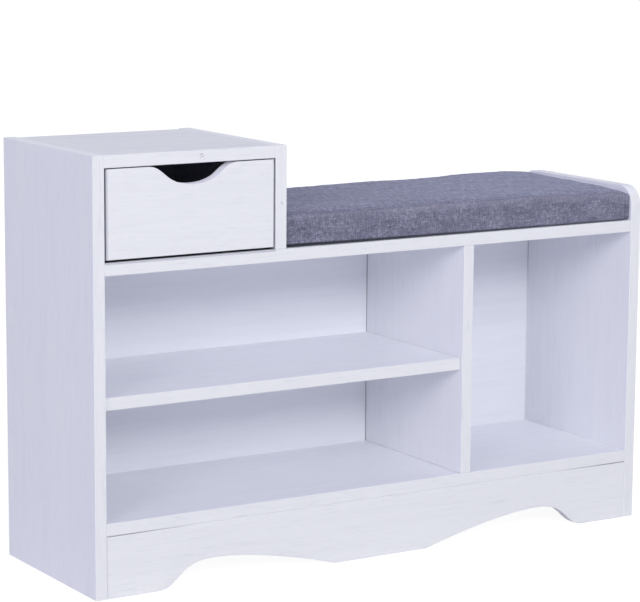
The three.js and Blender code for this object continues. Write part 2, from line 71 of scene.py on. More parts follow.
# %% [markdown]
# ## The camera
# A product shot of furniture is taken with a long lens, so that the boards stay nearly parallel.
# The camera is placed with three angles: how far it is turned, how far it looks down, and a small
# roll. Its axes are worked out from these and written straight into its matrix, which leaves no
# doubt about the order of the turns.

# %% Camera
CAMERA_PLACE = Vector((-1.6777, -2.6644, 0.8348))
CAMERA_TURN = math.radians(31.903)
CAMERA_DIP = math.radians(9.531)
CAMERA_ROLL = math.radians(0.389)
CAMERA_LENS = 140.93  # mm, on a 36 mm wide sensor


def camera_axes(turn, dip, roll):
    """Right, up and forward of a camera, as world vectors."""
    forward = Vector((math.sin(turn) * math.cos(dip), math.cos(turn) * math.cos(dip), -math.sin(dip)))
    level = Vector((math.cos(turn), -math.sin(turn), 0.0))
    upright = level.cross(forward)
    right = level * math.cos(roll) + upright * math.sin(roll)
    up = upright * math.cos(roll) - level * math.sin(roll)
    return right, up, forward


def add_camera():
    data = bpy.data.cameras.new("bench_camera")
    data.lens = CAMERA_LENS
    data.sensor_width = 36.0
    data.clip_start, data.clip_end = 0.05, 200.0
    camera = bpy.data.objects.new("bench_camera", data)
    bpy.context.collection.objects.link(camera)
    right, up, forward = camera_axes(CAMERA_TURN, CAMERA_DIP, CAMERA_ROLL)
    turned = Matrix((right, up, -forward)).transposed()
    camera.matrix_world = Matrix.Translation(CAMERA_PLACE) @ turned.to_4x4()
    return camera


bpy.context.scene.camera = add_camera()
print("camera lens", CAMERA_LENS, "mm")

# %% [markdown]
# ## Building node materials
# Every finish below is a small node tree. Three helpers start it: one makes a material around a
# Principled shader, one adds a node with its settings, and one turns the colour that a person would
# read off a swatch (sRGB, 0 to 255) into the linear colour that Blender stores. The next ones each
# add one small part of a tree: a place, a pattern, a range, a blend. The last one joins a finish's
# tone, roughness and relief to its shader, which every finish needs.

# %% Material helpers
WHITE = (1.0, 1.0, 1.0, 1.0)


def swatch(red, green, blue):
    """An sRGB colour from 0 to 255 as the linear colour that a socket holds."""
    def linear(value):
        share = value / 255
        return share / 12.92 if share <= 0.04045 else ((share + 0.055) / 1.055) ** 2.4
    return (linear(red), linear(green), linear(blue), 1.0)


def start_finish(name, roughness, metallic=0.0, specular=0.5):
    """A new material, its node tree and its Principled shader."""
    material = bpy.data.materials.new(name)
    material.use_nodes = True
    tree = material.node_tree
    shader = tree.nodes["Principled BSDF"]
    shader.inputs["Roughness"].default_value = roughness
    shader.inputs["Metallic"].default_value = metallic
    shader.inputs["Specular IOR Level"].default_value = specular
    return material, tree, shader


def add_node(tree, kind, inputs=None, **settings):
    """A node with its settings, and a value or a link for each named or numbered input."""
    made = tree.nodes.new(kind)
    for key, value in settings.items():
        setattr(made, key, value)
    for key, value in (inputs or {}).items():
        socket = made.inputs[key]
        if isinstance(value, bpy.types.NodeSocket):
            tree.links.new(value, socket)
        else:
            socket.default_value = value
    return made


print("material helpers ready")

# %% Places and patterns
def object_place(tree):
    return add_node(tree, "ShaderNodeTexCoord").outputs["Object"]


def parts_of(tree, vector):
    """The X, Y and Z of a vector."""
    return add_node(tree, "ShaderNodeSeparateXYZ", {0: vector}).outputs


def own_place(tree):
    """The X, Y and Z of the piece's own coordinates."""
    return parts_of(tree, object_place(tree))


def towards(tree, axis):
    """How far a face looks along one axis, from -1 to 1."""
    return parts_of(tree, add_node(tree, "ShaderNodeNewGeometry").outputs["True Normal"])[axis]


def stretched(tree, scale, place=None):
    """A place, in object coordinates unless another is given, stretched by a scale for each axis."""
    if place is None:
        place = object_place(tree)
    return add_node(tree, "ShaderNodeMapping", {"Vector": place, "Scale": scale}).outputs[0]


def noise_value(tree, vector, scale, detail=4.0, roughness=0.55, distortion=0.0):
    made = add_node(tree, "ShaderNodeTexNoise", {
        "Vector": vector, "Scale": scale, "Detail": detail,
        "Roughness": roughness, "Distortion": distortion})
    return made.outputs["Fac"]


print("place and pattern helpers ready")

# %% Numbers and colours in a tree
def arithmetic(tree, operation, first, second=0.0):
    return add_node(tree, "ShaderNodeMath", {0: first, 1: second}, operation=operation).outputs[0]


def absolute(tree, value):
    return arithmetic(tree, "ABSOLUTE", value)


def product(tree, result, *others):
    for other in others:
        result = arithmetic(tree, "MULTIPLY", result, other)
    return result


def levels(tree, value, low, high, to_low=0.0, to_high=1.0):
    """A value spread from one range onto another, clamped."""
    return add_node(tree, "ShaderNodeMapRange", {
        "Value": value, "From Min": low, "From Max": high,
        "To Min": to_low, "To Max": to_high}).outputs["Result"]


def within(tree, value, low, high, soft):
    """1 between two values, fading to 0 over a soft border outside them."""
    rising = levels(tree, value, low - soft, low)
    falling = levels(tree, value, high, high + soft, 1.0, 0.0)
    return product(tree, rising, falling)


def looks_back_along(tree, axis, strength=1.0):
    """A strength on faces turned to an axis's low end, as the bench's front is, and 0 on others."""
    return levels(tree, towards(tree, axis), -0.9, -0.5, strength, 0.0)


def ramp(tree, value, stops):
    """A colour ramp through (position, colour) stops."""
    made = add_node(tree, "ShaderNodeValToRGB", {"Fac": value})
    band = made.color_ramp
    while len(band.elements) < len(stops):
        band.elements.new(0.5)
    for element, (position, color) in zip(band.elements, stops):
        element.position = position
        element.color = color
    return made.outputs["Color"]


def mixed(tree, factor, first, second, blend="MIX"):
    """Two colours blended; the sockets of the colour kind are 6, 7 and, for the result, 2."""
    return add_node(tree, "ShaderNodeMix", {0: factor, 6: first, 7: second},
                    data_type="RGBA", blend_type=blend).outputs[2]


def surface(tree, shader, tone, roughness, height, depth, strength=1.0):
    """Gives a shader its tone and roughness, and relief of a real depth in metres."""
    made = add_node(tree, "ShaderNodeBump", {"Height": height, "Distance": depth, "Strength": strength})
    tree.links.new(made.outputs["Normal"], shader.inputs["Normal"])
    tree.links.new(tone, shader.inputs["Base Color"])
    tree.links.new(roughness, shader.inputs["Roughness"])


print("number and colour helpers ready")

# %% [markdown]
# ## White foil with a grain
# The boards are chipboard wrapped in a white foil, pressed with a fine wood grain: long faint
# streaks and short pores that catch the light. An image of wood would tile and blur, so the grain
# is built from noise stretched along the board. The same tree makes both directions, because the
# grain of a shelf runs sideways and that of a side panel runs up. Faces that look forward, the
# fronts and the front edges, get a painted shade that makes them greyer and warmer than the rest.

# %% White foil
FOIL_WHITE = swatch(247, 248, 253)
FOIL_STREAK = swatch(241, 242, 249)
FOIL_PORE = swatch(228, 230, 241)
FOIL_RELIEF = 0.00012
GRAIN_SCALES = {"x": (3.0, 55.0, 55.0), "z": (55.0, 55.0, 3.0)}
# a painted shade that makes faces that look forward greyer and warmer
FRONT_SHADE_TINT = (0.865, 0.858, 0.815, 1.0)  # how much of the foil's tone the faces that look forward keep


def white_foil(name, along, relief_depth=FOIL_RELIEF):
    """Foil whose grain runs along one axis; returns the material, its tree, shader and colour."""
    material, tree, shader = start_finish(name, 0.45, specular=0.4)
    grain = stretched(tree, GRAIN_SCALES[along])
    drift = noise_value(tree, grain, 0.35, detail=2.0)
    streak = noise_value(tree, grain, 1.6, detail=5.0, distortion=1.2)
    pore = noise_value(tree, grain, 9.0, detail=3.0, roughness=0.7)
    streaks = levels(tree, streak, 0.42, 0.68)
    pores = levels(tree, pore, 0.56, 0.68)
    tone = mixed(tree, levels(tree, drift, 0.3, 0.7, 0.0, 0.4), FOIL_WHITE, FOIL_STREAK)
    tone = mixed(tree, product(tree, streaks, 0.6), tone, FOIL_STREAK)
    tone = mixed(tree, product(tree, pores, 0.5), tone, FOIL_PORE)
    # painted shade: faces that look forward are made greyer and warmer than the others
    tone = mixed(tree, looks_back_along(tree, "Y"), tone, FRONT_SHADE_TINT, blend="MULTIPLY")
    relief = arithmetic(tree, "ADD", product(tree, streaks, -0.4), product(tree, pores, -0.6))
    surface(tree, shader, tone, levels(tree, streak, 0.3, 0.7, 0.4, 0.5), relief, relief_depth)
    return material, tree, shader, tone


foil_sideways = white_foil("white_foil_sideways", "x")[0]
foil_upright = white_foil("white_foil_upright", "z")[0]
print("foil:", foil_sideways.name, foil_upright.name)

# %% [markdown]
# ### Dark joints and painted shade
# Where boards meet there is a hair of a gap, black inside, and too fine to model. It is drawn in
# the finish by the board's own coordinates: a stripe along the top of the skirt, which shows most
# at its two ends, and a fainter one down its left end. The rim of the drawer's opening, hidden
# behind the drawer front, gets a painted shade that turns it dark within a few millimetres of the
# front. Just below the drawer's gap, the front edge of the seat board gets a soft grey painted shade.

# %% Dark joints and painted shade
# the dark of joints, and of the painted shade at the drawer's opening
JOINT_AND_SHADE_DARK = swatch(12, 13, 22)
JOINT_SOFT = 0.0004  # the soft border of a dark line
FRONT_Y = cad_low.y
SKIRT_LEFT, SKIRT_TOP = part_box("front_skirt")[0].x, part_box("front_skirt")[1].z
SKIRT_JOINT_HEIGHT, SKIRT_JOINT_WIDTH = 0.0007, 0.001
MOUTH_X = (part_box("left_side_panel")[1].x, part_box("tower_divider")[0].x)
MOUTH_Z = (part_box("seat_board")[1].z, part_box("tower_top")[0].z)
MOUTH_END = (0.016, 0.024)  # the painted shade fades out between these depths behind the front
GAP_SHADE = (0.0008, 0.0030)  # the shade fades out between these depths below the drawer's gap


def skirt_joint(tree):
    """The dark line along the skirt's top, strongest at both ends, and the faint one at its left."""
    place = own_place(tree)
    near_top = within(tree, place["Z"], SKIRT_TOP - SKIRT_JOINT_HEIGHT, SKIRT_TOP, 0.0003)
    towards_ends = levels(tree, absolute(tree, place["X"]), 0.26, 0.35, 0.0, 0.55)
    left_end = within(tree, place["X"], SKIRT_LEFT, SKIRT_LEFT + SKIRT_JOINT_WIDTH, JOINT_SOFT)
    return arithmetic(tree, "MAXIMUM", product(tree, near_top, towards_ends), product(tree, left_end, 0.14))


def painted_mouth_shade(tree, strength, reach):
    """Painted shade on the rim of the drawer's opening, which is full at a given depth."""
    place = own_place(tree)
    across = within(tree, place["X"], *MOUTH_X, JOINT_SOFT)
    upward = within(tree, place["Z"], *MOUTH_Z, JOINT_SOFT)
    depth = arithmetic(tree, "SUBTRACT", place["Y"], FRONT_Y)
    deep = product(tree, levels(tree, depth, 0.0006, reach), levels(tree, depth, *MOUTH_END, 1.0, 0.0))
    return product(tree, across, upward, deep, strength)


def under_drawer(tree):
    """The soft shade on the seat board's front edge, just below the drawer's gap."""
    place = own_place(tree)
    depth = arithmetic(tree, "SUBTRACT", MOUTH_Z[0], place["Z"])
    shade = levels(tree, depth, *GAP_SHADE, 0.44, 0.0)
    return product(tree, within(tree, place["X"], *MOUTH_X, 0.001), shade, looks_back_along(tree, "Y"))


print("drawer opening", [round(v, 4) for v in (*MOUTH_X, *MOUTH_Z)])

# %% [markdown]
# ### Handling marks, painted shade and glow
# Two front edges carry small grey rubs from packing: a few short strokes on the tower's top board
# and a tick on its divider. A mark is only colour, so it is drawn in the foil: a Mapping node moves
# the origin to the mark and turns it, and two ranges fade it out along and across. A painted shade
# darkens the faces of the tower's top that look up, and another lies low down and far back on the
# inside of the right-hand panel. Beside the cushion, that panel shows a narrow strip that the lamps
# leave too dark, because a room's white walls light it as well. A weak glow there is painted light
# that stands for them.

# %% Rubs, painted shade and glow
MARK_GREY = swatch(138, 140, 156)
# a bluish grey for painted shade
PAINTED_SHADE_TONE = swatch(90, 92, 120)
PANEL_GLOW = (0.085, 0.085, 0.12, 1.0)
PANEL_RELIEF = 0.00006  # the grain of the right-hand panel is pressed less deep
SEAT_TOP = MOUTH_Z[0]
TOWER_TOP_RUBS = [  # centre, angle in degrees, half length, half width, strength
    ((-0.2580, FRONT_Y, 0.5187), -26, 0.0026, 0.0008, 0.75),
    ((-0.2568, FRONT_Y, 0.5161), -24, 0.0034, 0.0008, 0.60),
    ((-0.2543, FRONT_Y, 0.5133), -24, 0.0022, 0.0007, 0.28)]
DIVIDER_RUBS = [
    ((-0.1485, FRONT_Y, 0.4550), 65, 0.0014, 0.0009, 0.50),
    ((-0.1472, FRONT_Y, 0.4532), 35, 0.0016, 0.0009, 0.35)]


def rub(tree, centre, angle, half_length, half_width, strength):
    """How strongly one rub shows, from 0 to 1, on a face that looks forward."""
    local = add_node(tree, "ShaderNodeMapping", {
        "Vector": object_place(tree), "Location": centre, "Rotation": (0.0, math.radians(angle), 0.0)},
        vector_type="TEXTURE").outputs[0]
    parts = parts_of(tree, local)
    along = levels(tree, absolute(tree, parts["X"]), half_length, half_length * 0.6)
    across = levels(tree, absolute(tree, parts["Z"]), half_width, half_width * 0.3)
    return product(tree, along, across, looks_back_along(tree, "Y"), strength)


def painted_top_shade(tree):
    """Painted shade on faces that look up."""
    return levels(tree, towards(tree, "Z"), 0.5, 0.9, 0.0, 0.10)


def painted_corner_shade(tree):
    """Painted shade low down and far back on the inside of the right-hand panel."""
    place = own_place(tree)
    far_back = levels(tree, place["Y"], -0.06, 0.08)
    low_down = levels(tree, place["Z"], 0.14, 0.34, 1.0, 0.0)
    return product(tree, looks_back_along(tree, "X", 0.12), far_back, low_down)


def beside_cushion(tree):
    """The inside of the right-hand panel, above the seat."""
    above_seat = levels(tree, own_place(tree)["Z"], SEAT_TOP + 0.001, SEAT_TOP + 0.009)
    return product(tree, looks_back_along(tree, "X"), above_seat)


def glow_where(tree, shader, color, share):
    """Makes a shader glow in one colour, as strongly as a share from 0 to 1 says."""
    shader.inputs["Emission Color"].default_value = color
    tree.links.new(share, shader.inputs["Emission Strength"])


print("rubs:", len(TOWER_TOP_RUBS) + len(DIVIDER_RUBS))

# %% Marked foil
def marked_foil(name, along, rubs=(), mouth_shade=None, joint=None, painted_shade=None, glow=None,
                relief_depth=FOIL_RELIEF):
    """White foil with rubs, painted shade at a drawer opening (strength and reach), a joint, other painted
    shade and a painted glow.
    """
    material, tree, shader, tone = white_foil(name, along, relief_depth)
    if glow:
        glow_where(tree, shader, PANEL_GLOW, glow(tree))
    for settings in rubs:
        tone = mixed(tree, rub(tree, *settings), tone, MARK_GREY)
    if mouth_shade:
        # painted shade on the rim of the drawer's opening
        tone = mixed(tree, painted_mouth_shade(tree, *mouth_shade), tone, JOINT_AND_SHADE_DARK)
    if joint:
        tone = mixed(tree, joint(tree), tone, JOINT_AND_SHADE_DARK)
    # painted shade where the given mask says
    if painted_shade:
        tone = mixed(tree, painted_shade(tree), tone, PAINTED_SHADE_TONE)
    tree.links.new(tone, shader.inputs["Base Color"])
    return material


# painted shade on the tower top's faces that look up and at the drawer's opening
foil_tower_top = marked_foil(
    "white_foil_tower_top", "x", rubs=TOWER_TOP_RUBS, mouth_shade=(1.0, 0.002), painted_shade=painted_top_shade)
foil_tower_divider = marked_foil("white_foil_tower_divider", "z", rubs=DIVIDER_RUBS, mouth_shade=(0.4, 0.003))
foil_left_side = marked_foil("white_foil_left_side", "z", mouth_shade=(0.8, 0.003))
# painted shade low and far back on the right-hand panel, and a painted glow beside the cushion
foil_right_side = marked_foil(
    "white_foil_right_side", "z", painted_shade=painted_corner_shade, glow=beside_cushion, relief_depth=PANEL_RELIEF)
# the seat board: painted shade at the drawer's opening and just below its gap
foil_seat = marked_foil("white_foil_seat", "x", mouth_shade=(1.0, 0.010), painted_shade=under_drawer)
foil_skirt = marked_foil("white_foil_skirt", "x", joint=skirt_joint)
print("marked foil:", foil_tower_top.name, foil_tower_divider.name)

# %% [markdown]
# ### The rim of the finger pull
# The finger pull is routed through the drawer front. Its rim sits in the shade of the tower's top,
# and a weak glow on the rim alone is painted light that keeps it nearly as bright as the front. The
# left edge of the front has a painted shade, standing for the shade of the side panel beside it.

# %% Drawer front
PULL_GLOW = (0.20, 0.198, 0.25, 1.0)
PULL_HALF_WIDTH, PULL_DROP = 0.064, 0.026  # a region that holds the whole finger pull
PULL_TOP_MARGIN = 0.0006  # the top edge of the front doesn't glow
LEFT_RIM = 0.0034  # how far in the shade of the side panel reaches


def drawer_front_foil():
    """White foil with a painted glow round the finger pull and a painted shade on its left edge."""
    material, tree, shader, tone = white_foil("white_foil_drawer_front", "x")
    place = own_place(tree)
    low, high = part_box("drawer_front")
    # painted shade along the front's left edge
    left_rim_shade = levels(tree, place["X"], low.x, low.x + LEFT_RIM, 0.48, 0.0)
    tree.links.new(mixed(tree, left_rim_shade, tone, PAINTED_SHADE_TONE), shader.inputs["Base Color"])
    middle_x = (low.x + high.x) / 2
    across = within(tree, place["X"], middle_x - PULL_HALF_WIDTH, middle_x + PULL_HALF_WIDTH, 0.001)
    upward = within(tree, place["Z"], high.z - PULL_DROP, high.z - PULL_TOP_MARGIN, JOINT_SOFT)
    not_a_face = levels(tree, absolute(tree, towards(tree, "Y")), 0.3, 0.6, 1.0, 0.0)
    # painted light: a weak glow on the rim of the finger pull
    glow_where(tree, shader, PULL_GLOW, product(tree, across, upward, not_a_face))
    return material


foil_drawer_front = drawer_front_foil()
print("drawer front:", foil_drawer_front.name)

# %% [markdown]
# ## Thin back boards
# The backs are 3 mm hardboard. The side that faces the room has a white print with a quiet grain,
# and the side that faces the wall is left raw: pressed brown fibre with darker flecks. One tree
# serves both sides, and the face's own direction decides which of them shows. A dark slit runs
# beside the centre divider, and a fainter one beside the right-hand panel, which shows most high
# up. The board behind the tall bay has a painted shade low down.

# %% Hardboard
PRINT_WHITE, PRINT_STREAK = swatch(247, 248, 253), swatch(239, 241, 248)
FIBRE = [(0.25, swatch(150, 118, 84)), (0.5, swatch(168, 136, 100)), (0.8, swatch(184, 153, 117))]
DIVIDER_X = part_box("centre_divider")[0].x
RIGHT_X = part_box("right_side_panel")[0].x
DIVIDER_SLIT, RIGHT_SLIT = 0.0008, 0.0012
BAY_SHADE_HEIGHTS = (0.235, 0.275)  # the painted shade on the tall bay's back fades out between these heights


def back_slits(tree, place):
    """The dark slits where the back boards meet the centre divider and the right-hand panel."""
    by_divider = within(tree, place["X"], DIVIDER_X - DIVIDER_SLIT, DIVIDER_X, JOINT_SOFT)
    by_panel = within(tree, place["X"], RIGHT_X - RIGHT_SLIT, RIGHT_X, JOINT_SOFT)
    by_panel = product(tree, by_panel, levels(tree, place["Z"], 0.26, 0.34, 0.08, 0.30))
    return arithmetic(tree, "MAXIMUM", product(tree, by_divider, 0.68), by_panel)


def hardboard_finish():
    material, tree, shader = start_finish("hardboard_printed", 0.5, specular=0.35)
    grain = stretched(tree, (3.0, 45.0, 45.0))
    streak = noise_value(tree, grain, 2.2, detail=4.0, distortion=0.8)
    printed = mixed(tree, levels(tree, streak, 0.4, 0.7, 0.0, 0.5), PRINT_WHITE, PRINT_STREAK)
    place = own_place(tree)
    printed = mixed(tree, back_slits(tree, place), printed, JOINT_AND_SHADE_DARK)
    # painted shade low down on the board behind the tall bay
    in_tall_bay = levels(tree, place["X"], DIVIDER_X, DIVIDER_X + 0.01)
    painted_low_shade = product(tree, in_tall_bay, levels(tree, place["Z"], *BAY_SHADE_HEIGHTS, 0.115, 0.0))
    printed = mixed(tree, painted_low_shade, printed, PAINTED_SHADE_TONE)
    fibre = noise_value(tree, stretched(tree, (160.0, 160.0, 260.0)), 3.0, detail=8.0, roughness=0.75)
    is_rear = levels(tree, towards(tree, "Y"), 0.4, 0.6)
    tone = mixed(tree, is_rear, printed, ramp(tree, fibre, FIBRE))
    surface(tree, shader, tone, levels(tree, is_rear, 0.0, 1.0, 0.5, 0.85), fibre, 0.00015, strength=0.5)
    return material


hardboard = hardboard_finish()
print("back boards:", hardboard.name)

# %% [markdown]
# ## Fittings
# The runners are steel under white powder coat, whose skin is slightly dimpled like orange peel.
# The rollers are natural nylon. Cams and connector screws are zinc: a metal shader, with the
# roughness broken up so that it doesn't look like a mirror. The dowels are plain beech.

# %% Powder coat, nylon, zinc and beech
BEECH_TONES = [(0.3, swatch(196, 156, 112)), (0.6, swatch(219, 184, 140)), (0.8, swatch(228, 197, 158))]


def speckled_finish(name, stretch, tones, gloss, depth, scale=1.0, detail=2.0, spread=(0.3, 0.7),
                    specular=0.5):
    """One noise behind two tones, a range of roughness and a relief of some depth."""
    material, tree, shader = start_finish(name, gloss[0], specular=specular)
    speckle = noise_value(tree, stretched(tree, stretch), scale, detail=detail)
    tone = mixed(tree, levels(tree, speckle, *spread), *tones)
    surface(tree, shader, tone, levels(tree, speckle, 0.3, 0.7, *gloss), speckle, depth)
    return material


def natural_nylon():
    material = speckled_finish(
        "natural_nylon", (220.0, 220.0, 220.0), (swatch(238, 238, 233), swatch(222, 222, 216)),
        (0.34, 0.48), 0.00003, detail=3.0, spread=(0.0, 1.0))
    shader = material.node_tree.nodes["Principled BSDF"]
    shader.inputs["Subsurface Weight"].default_value = 0.15
    shader.inputs["Subsurface Scale"].default_value = 0.002
    return material


def cast_zinc():
    material, tree, shader = start_finish("cast_zinc", 0.38, metallic=1.0)
    fine = noise_value(tree, stretched(tree, (1500.0, 1500.0, 1500.0)), 1.0, detail=3.0)
    broad = noise_value(tree, stretched(tree, (300.0, 300.0, 300.0)), 1.0, detail=2.0)
    tone = mixed(tree, broad, swatch(176, 179, 184), swatch(208, 210, 214))
    surface(tree, shader, tone, levels(tree, broad, 0.3, 0.7, 0.28, 0.5), fine, 0.00002)
    return material


def plain_beech():
    material, tree, shader = start_finish("plain_beech", 0.65, specular=0.3)
    rings = noise_value(tree, stretched(tree, (500.0, 500.0, 40.0)), 1.0, detail=5.0, distortion=0.6)
    tone = ramp(tree, rings, BEECH_TONES)
    surface(tree, shader, tone, levels(tree, rings, 0.3, 0.7, 0.6, 0.75), rings, 0.00005)
    return material


powder_coat = speckled_finish(
    "white_powder_coat", (900.0, 900.0, 900.0), (swatch(226, 227, 230), swatch(234, 235, 238)),
    (0.27, 0.4), 0.00008)
nylon, zinc, beech = natural_nylon(), cast_zinc(), plain_beech()
print("fittings:", powder_coat.name, nylon.name, zinc.name, beech.name)

# %% [markdown]
# ### The drawer box
# The sides and back of the drawer are thinner boards in a plain, matt grey foil without the pressed
# grain, and its floor is hardboard. Inside the closed drawer almost no light arrives, so it reads
# as a dark slot.

# %% Drawer box finish
drawer_foil = speckled_finish(
    "drawer_board", (60.0, 12.0, 60.0), (swatch(152, 154, 168), swatch(138, 140, 154)),
    (0.52, 0.66), 0.00006, scale=6.0, detail=5.0, spread=(0.35, 0.7), specular=0.3)
print("drawer box:", drawer_foil.name)

# %% [markdown]
# ## Dressing the CAD pieces
# The imported pieces keep their shape. Each gets the finish of what it is made of, chosen by the
# first word of this list that its name holds. Fittings come first, because a screw or a cam is
# named after its board. Boards with rubs, joints, painted shade or a glow have a foil of their own,
# and any board that is left gets the plain foil with a sideways grain.

# %% Finishes for the CAD pieces
FINISH_BY_WORD = [
    ("cam_", zinc), ("screw_", zinc), ("shelf_pin", zinc), ("dowel", beech),
    ("runner", powder_coat), ("roller", nylon),
    ("tower_top", foil_tower_top), ("tower_divider", foil_tower_divider), ("front_skirt", foil_skirt),
    ("seat_board", foil_seat), ("left_side_panel", foil_left_side), ("right_side_panel", foil_right_side),
    ("centre_divider", foil_upright), ("back_panel", hardboard), ("drawer_front", foil_drawer_front),
    ("drawer_bottom", hardboard), ("drawer_side", drawer_foil), ("drawer_back", drawer_foil)]


def finish_for(name):
    for word, material in FINISH_BY_WORD:
        if word in name:
            return material
    return foil_sideways


def dress(obj, material):
    obj.data.materials.clear()
    obj.data.materials.append(material)


for name, obj in nodes.items():
    dress(obj, finish_for(name))
print("dressed", len(nodes), "CAD pieces")

# %% [markdown]
# ## Floor, world and lamps
# White furniture is shot on white. The floor is pale and matt. For the camera's own rays most of
# its white is light of its own, so that it reaches white while part of the bench's shadow still
# shows. The world is white in the same way: rays from the camera, and rays seen in gloss or glass,
# meet plain white, and all other rays meet a soft, slightly cool sky that fills the shadows.

# %% World
SKY_FILL = (0.3625, 0.368, 0.4525, 1.0)


def camera_like_rays(tree):
    """1 for rays from the camera and for rays seen in gloss or through glass."""
    path = add_node(tree, "ShaderNodeLightPath").outputs
    glossy = arithmetic(tree, "MAXIMUM", path["Is Camera Ray"], path["Is Glossy Ray"])
    return arithmetic(tree, "MAXIMUM", glossy, path["Is Transmission Ray"])


def add_world():
    world = bpy.data.worlds.new("studio")
    bpy.context.scene.world = world
    world.use_nodes = True
    tree = world.node_tree
    sky = tree.nodes["Background"]
    sky.inputs["Color"].default_value = SKY_FILL
    white = add_node(tree, "ShaderNodeBackground", {"Color": WHITE, "Strength": 1.0})
    both = add_node(tree, "ShaderNodeMixShader", {
        0: camera_like_rays(tree), 1: sky.outputs[0], 2: white.outputs[0]})
    tree.links.new(both.outputs[0], tree.nodes["World Output"].inputs["Surface"])


add_world()
print("sky fill", SKY_FILL[:3])

# %% Floor
FLOOR_REACH = 60.0
FLOOR_DROP = 0.0002  # a hair below the feet, so that no two faces share a plane
FLOOR_GLOW = 0.92  # what the floor adds for the camera
FLOOR_SHARE = (0.27, 0.27, 0.27, 1.0)  # how much of the lit floor, shadow included, the camera sees


def floor_finish():
    material, tree, shader = start_finish("pale_floor", 0.9, specular=0.0)
    grit = noise_value(tree, stretched(tree, (40.0, 40.0, 40.0)), 1.0)
    tone = mixed(tree, grit, swatch(240, 240, 242), swatch(236, 236, 239))
    tree.links.new(tone, shader.inputs["Base Color"])
    dimmed = add_node(tree, "ShaderNodeBsdfDiffuse", {"Color": FLOOR_SHARE})
    glow = add_node(tree, "ShaderNodeEmission", {"Color": WHITE, "Strength": FLOOR_GLOW})
    seen = add_node(tree, "ShaderNodeAddShader", {0: dimmed.outputs[0], 1: glow.outputs[0]})
    path = add_node(tree, "ShaderNodeLightPath").outputs["Is Camera Ray"]
    both = add_node(tree, "ShaderNodeMixShader", {0: path, 1: shader.outputs[0], 2: seen.outputs[0]})
    tree.links.new(both.outputs[0], tree.nodes["Material Output"].inputs["Surface"])
    return material


def new_piece(name, mesh, material=None):
    obj = bpy.data.objects.new(name, mesh)
    bpy.context.collection.objects.link(obj)
    if material:
        mesh.materials.append(material)
    return obj


def add_floor():
    mesh = bpy.data.meshes.new("floor")
    reach, z = FLOOR_REACH, cad_low.z - FLOOR_DROP
    corners = [(-reach, -reach, z), (reach, -reach, z), (reach, reach, z), (-reach, reach, z)]
    mesh.from_pydata(corners, [], [(0, 1, 2, 3)])
    new_piece("floor", mesh, floor_finish())


add_floor()
print("floor at", round(cad_low.z, 4))

# %% Lamps
LAMPS = [  # name, place, width and height in metres, watts, colour
    ("key_softbox", (-1.238, -7.020, 3.882), (2.6, 2.6), 284.0, (0.971, 0.995, 1.0)),
    ("side_softbox", (-6.076, -4.255, 3.247), (2.6, 2.6), 119.0, (1.0, 0.958, 0.986)),
    ("rear_softbox", (3.6, 7.6, 2.6), (3.0, 3.0), 24.0, (1.0, 1.0, 1.0))]


def add_lamp(name, place, size, watts, color):
    data = bpy.data.lights.new(name, "AREA")
    data.shape = "RECTANGLE"
    data.size, data.size_y = size
    data.energy = watts
    data.color = color
    lamp = bpy.data.objects.new(name, data)
    bpy.context.collection.objects.link(lamp)
    lamp.visible_camera = lamp.visible_glossy = False
    aim = (cad_low + cad_high) / 2 - Vector(place)
    lamp.matrix_world = Matrix.Translation(place) @ aim.to_track_quat("-Z", "Y").to_matrix().to_4x4()
    return lamp


for lamp in LAMPS:
    add_lamp(*lamp)
print("lamps:", [lamp[0] for lamp in LAMPS])

# %% View transform
bpy.context.scene.view_settings.view_transform = "Standard"
print("view transform", bpy.context.scene.view_settings.view_transform)

# %% [markdown]
# ## Linen
# The seat cushion's cover is a heather linen: dark and pale yarns of uneven thickness, crossed in
# a plain weave. It is not a picture of cloth but three layers: short streaks that run one way for
# the warp and the other way for the weft, a slow drift between them, and the over-and-under of
# the yarns as relief. They are laid out in the `weave` attribute, which the cushion carries and
# which follows each panel of the cover. A little sheen stands for the nap of the fabric. The top
# panel has more contrast, and a painted cool tint that stands for the sky seen in its nap.

# %% Linen yarns
YARN_PITCH = 0.0009
LINEN_TONES = [(0.355, swatch(80, 80, 96)), (0.50, swatch(117, 117, 136)), (0.655, swatch(174, 173, 189))]
TOP_SKY_TINT = (0.98, 0.985, 1.09, 1.0)  # a painted tint that stands for the sky seen in the nap of the top panel


def attribute(tree, name, output):
    return add_node(tree, "ShaderNodeAttribute", attribute_name=name).outputs[output]


def on_weave(tree, scale, **settings):
    """Noise laid out along the cover's own panels."""
    return noise_value(tree, stretched(tree, scale, attribute(tree, "weave", "Vector")), 1.0, **settings)


def blended(tree, share, first, second):
    """Two numbers blended; the sockets of the number kind are 2, 3 and, for the result, 0."""
    return add_node(tree, "ShaderNodeMix", {0: share, 2: first, 3: second}).outputs[0]


def woven_yarns(tree, on_top):
    """How pale the yarn is at each place, round 0.5: crossed streaks, with thicker yarns on top."""
    weft = on_weave(tree, (190.0, 820.0, 9.0), detail=3.0, roughness=0.65)
    warp = on_weave(tree, (820.0, 150.0, 9.0), detail=3.0, roughness=0.65)
    slub = on_weave(tree, (40.0, 420.0, 9.0), detail=3.0)
    thick = on_weave(tree, (380.0, 70.0, 9.0), detail=3.0, roughness=0.65)
    crossed = product(tree, arithmetic(tree, "ADD", weft, warp), 0.5)
    yarns = blended(tree, 0.13, crossed, slub)
    yarns = blended(tree, product(tree, on_top, 0.55), yarns, thick)
    contrast = levels(tree, on_top, 0.0, 1.0, 0.84, 1.25)
    return arithmetic(tree, "ADD", product(tree, arithmetic(tree, "SUBTRACT", yarns, 0.5), contrast), 0.5)


def woven_height(tree):
    """Plain weave: yarns that pass over and under each other at right angles."""
    parts = parts_of(tree, attribute(tree, "weave", "Vector"))
    waves = [arithmetic(tree, "SINE", product(tree, parts[axis], math.pi / YARN_PITCH)) for axis in "XY"]
    return product(tree, *waves)


print("yarn pitch", YARN_PITCH * 1000, "mm")
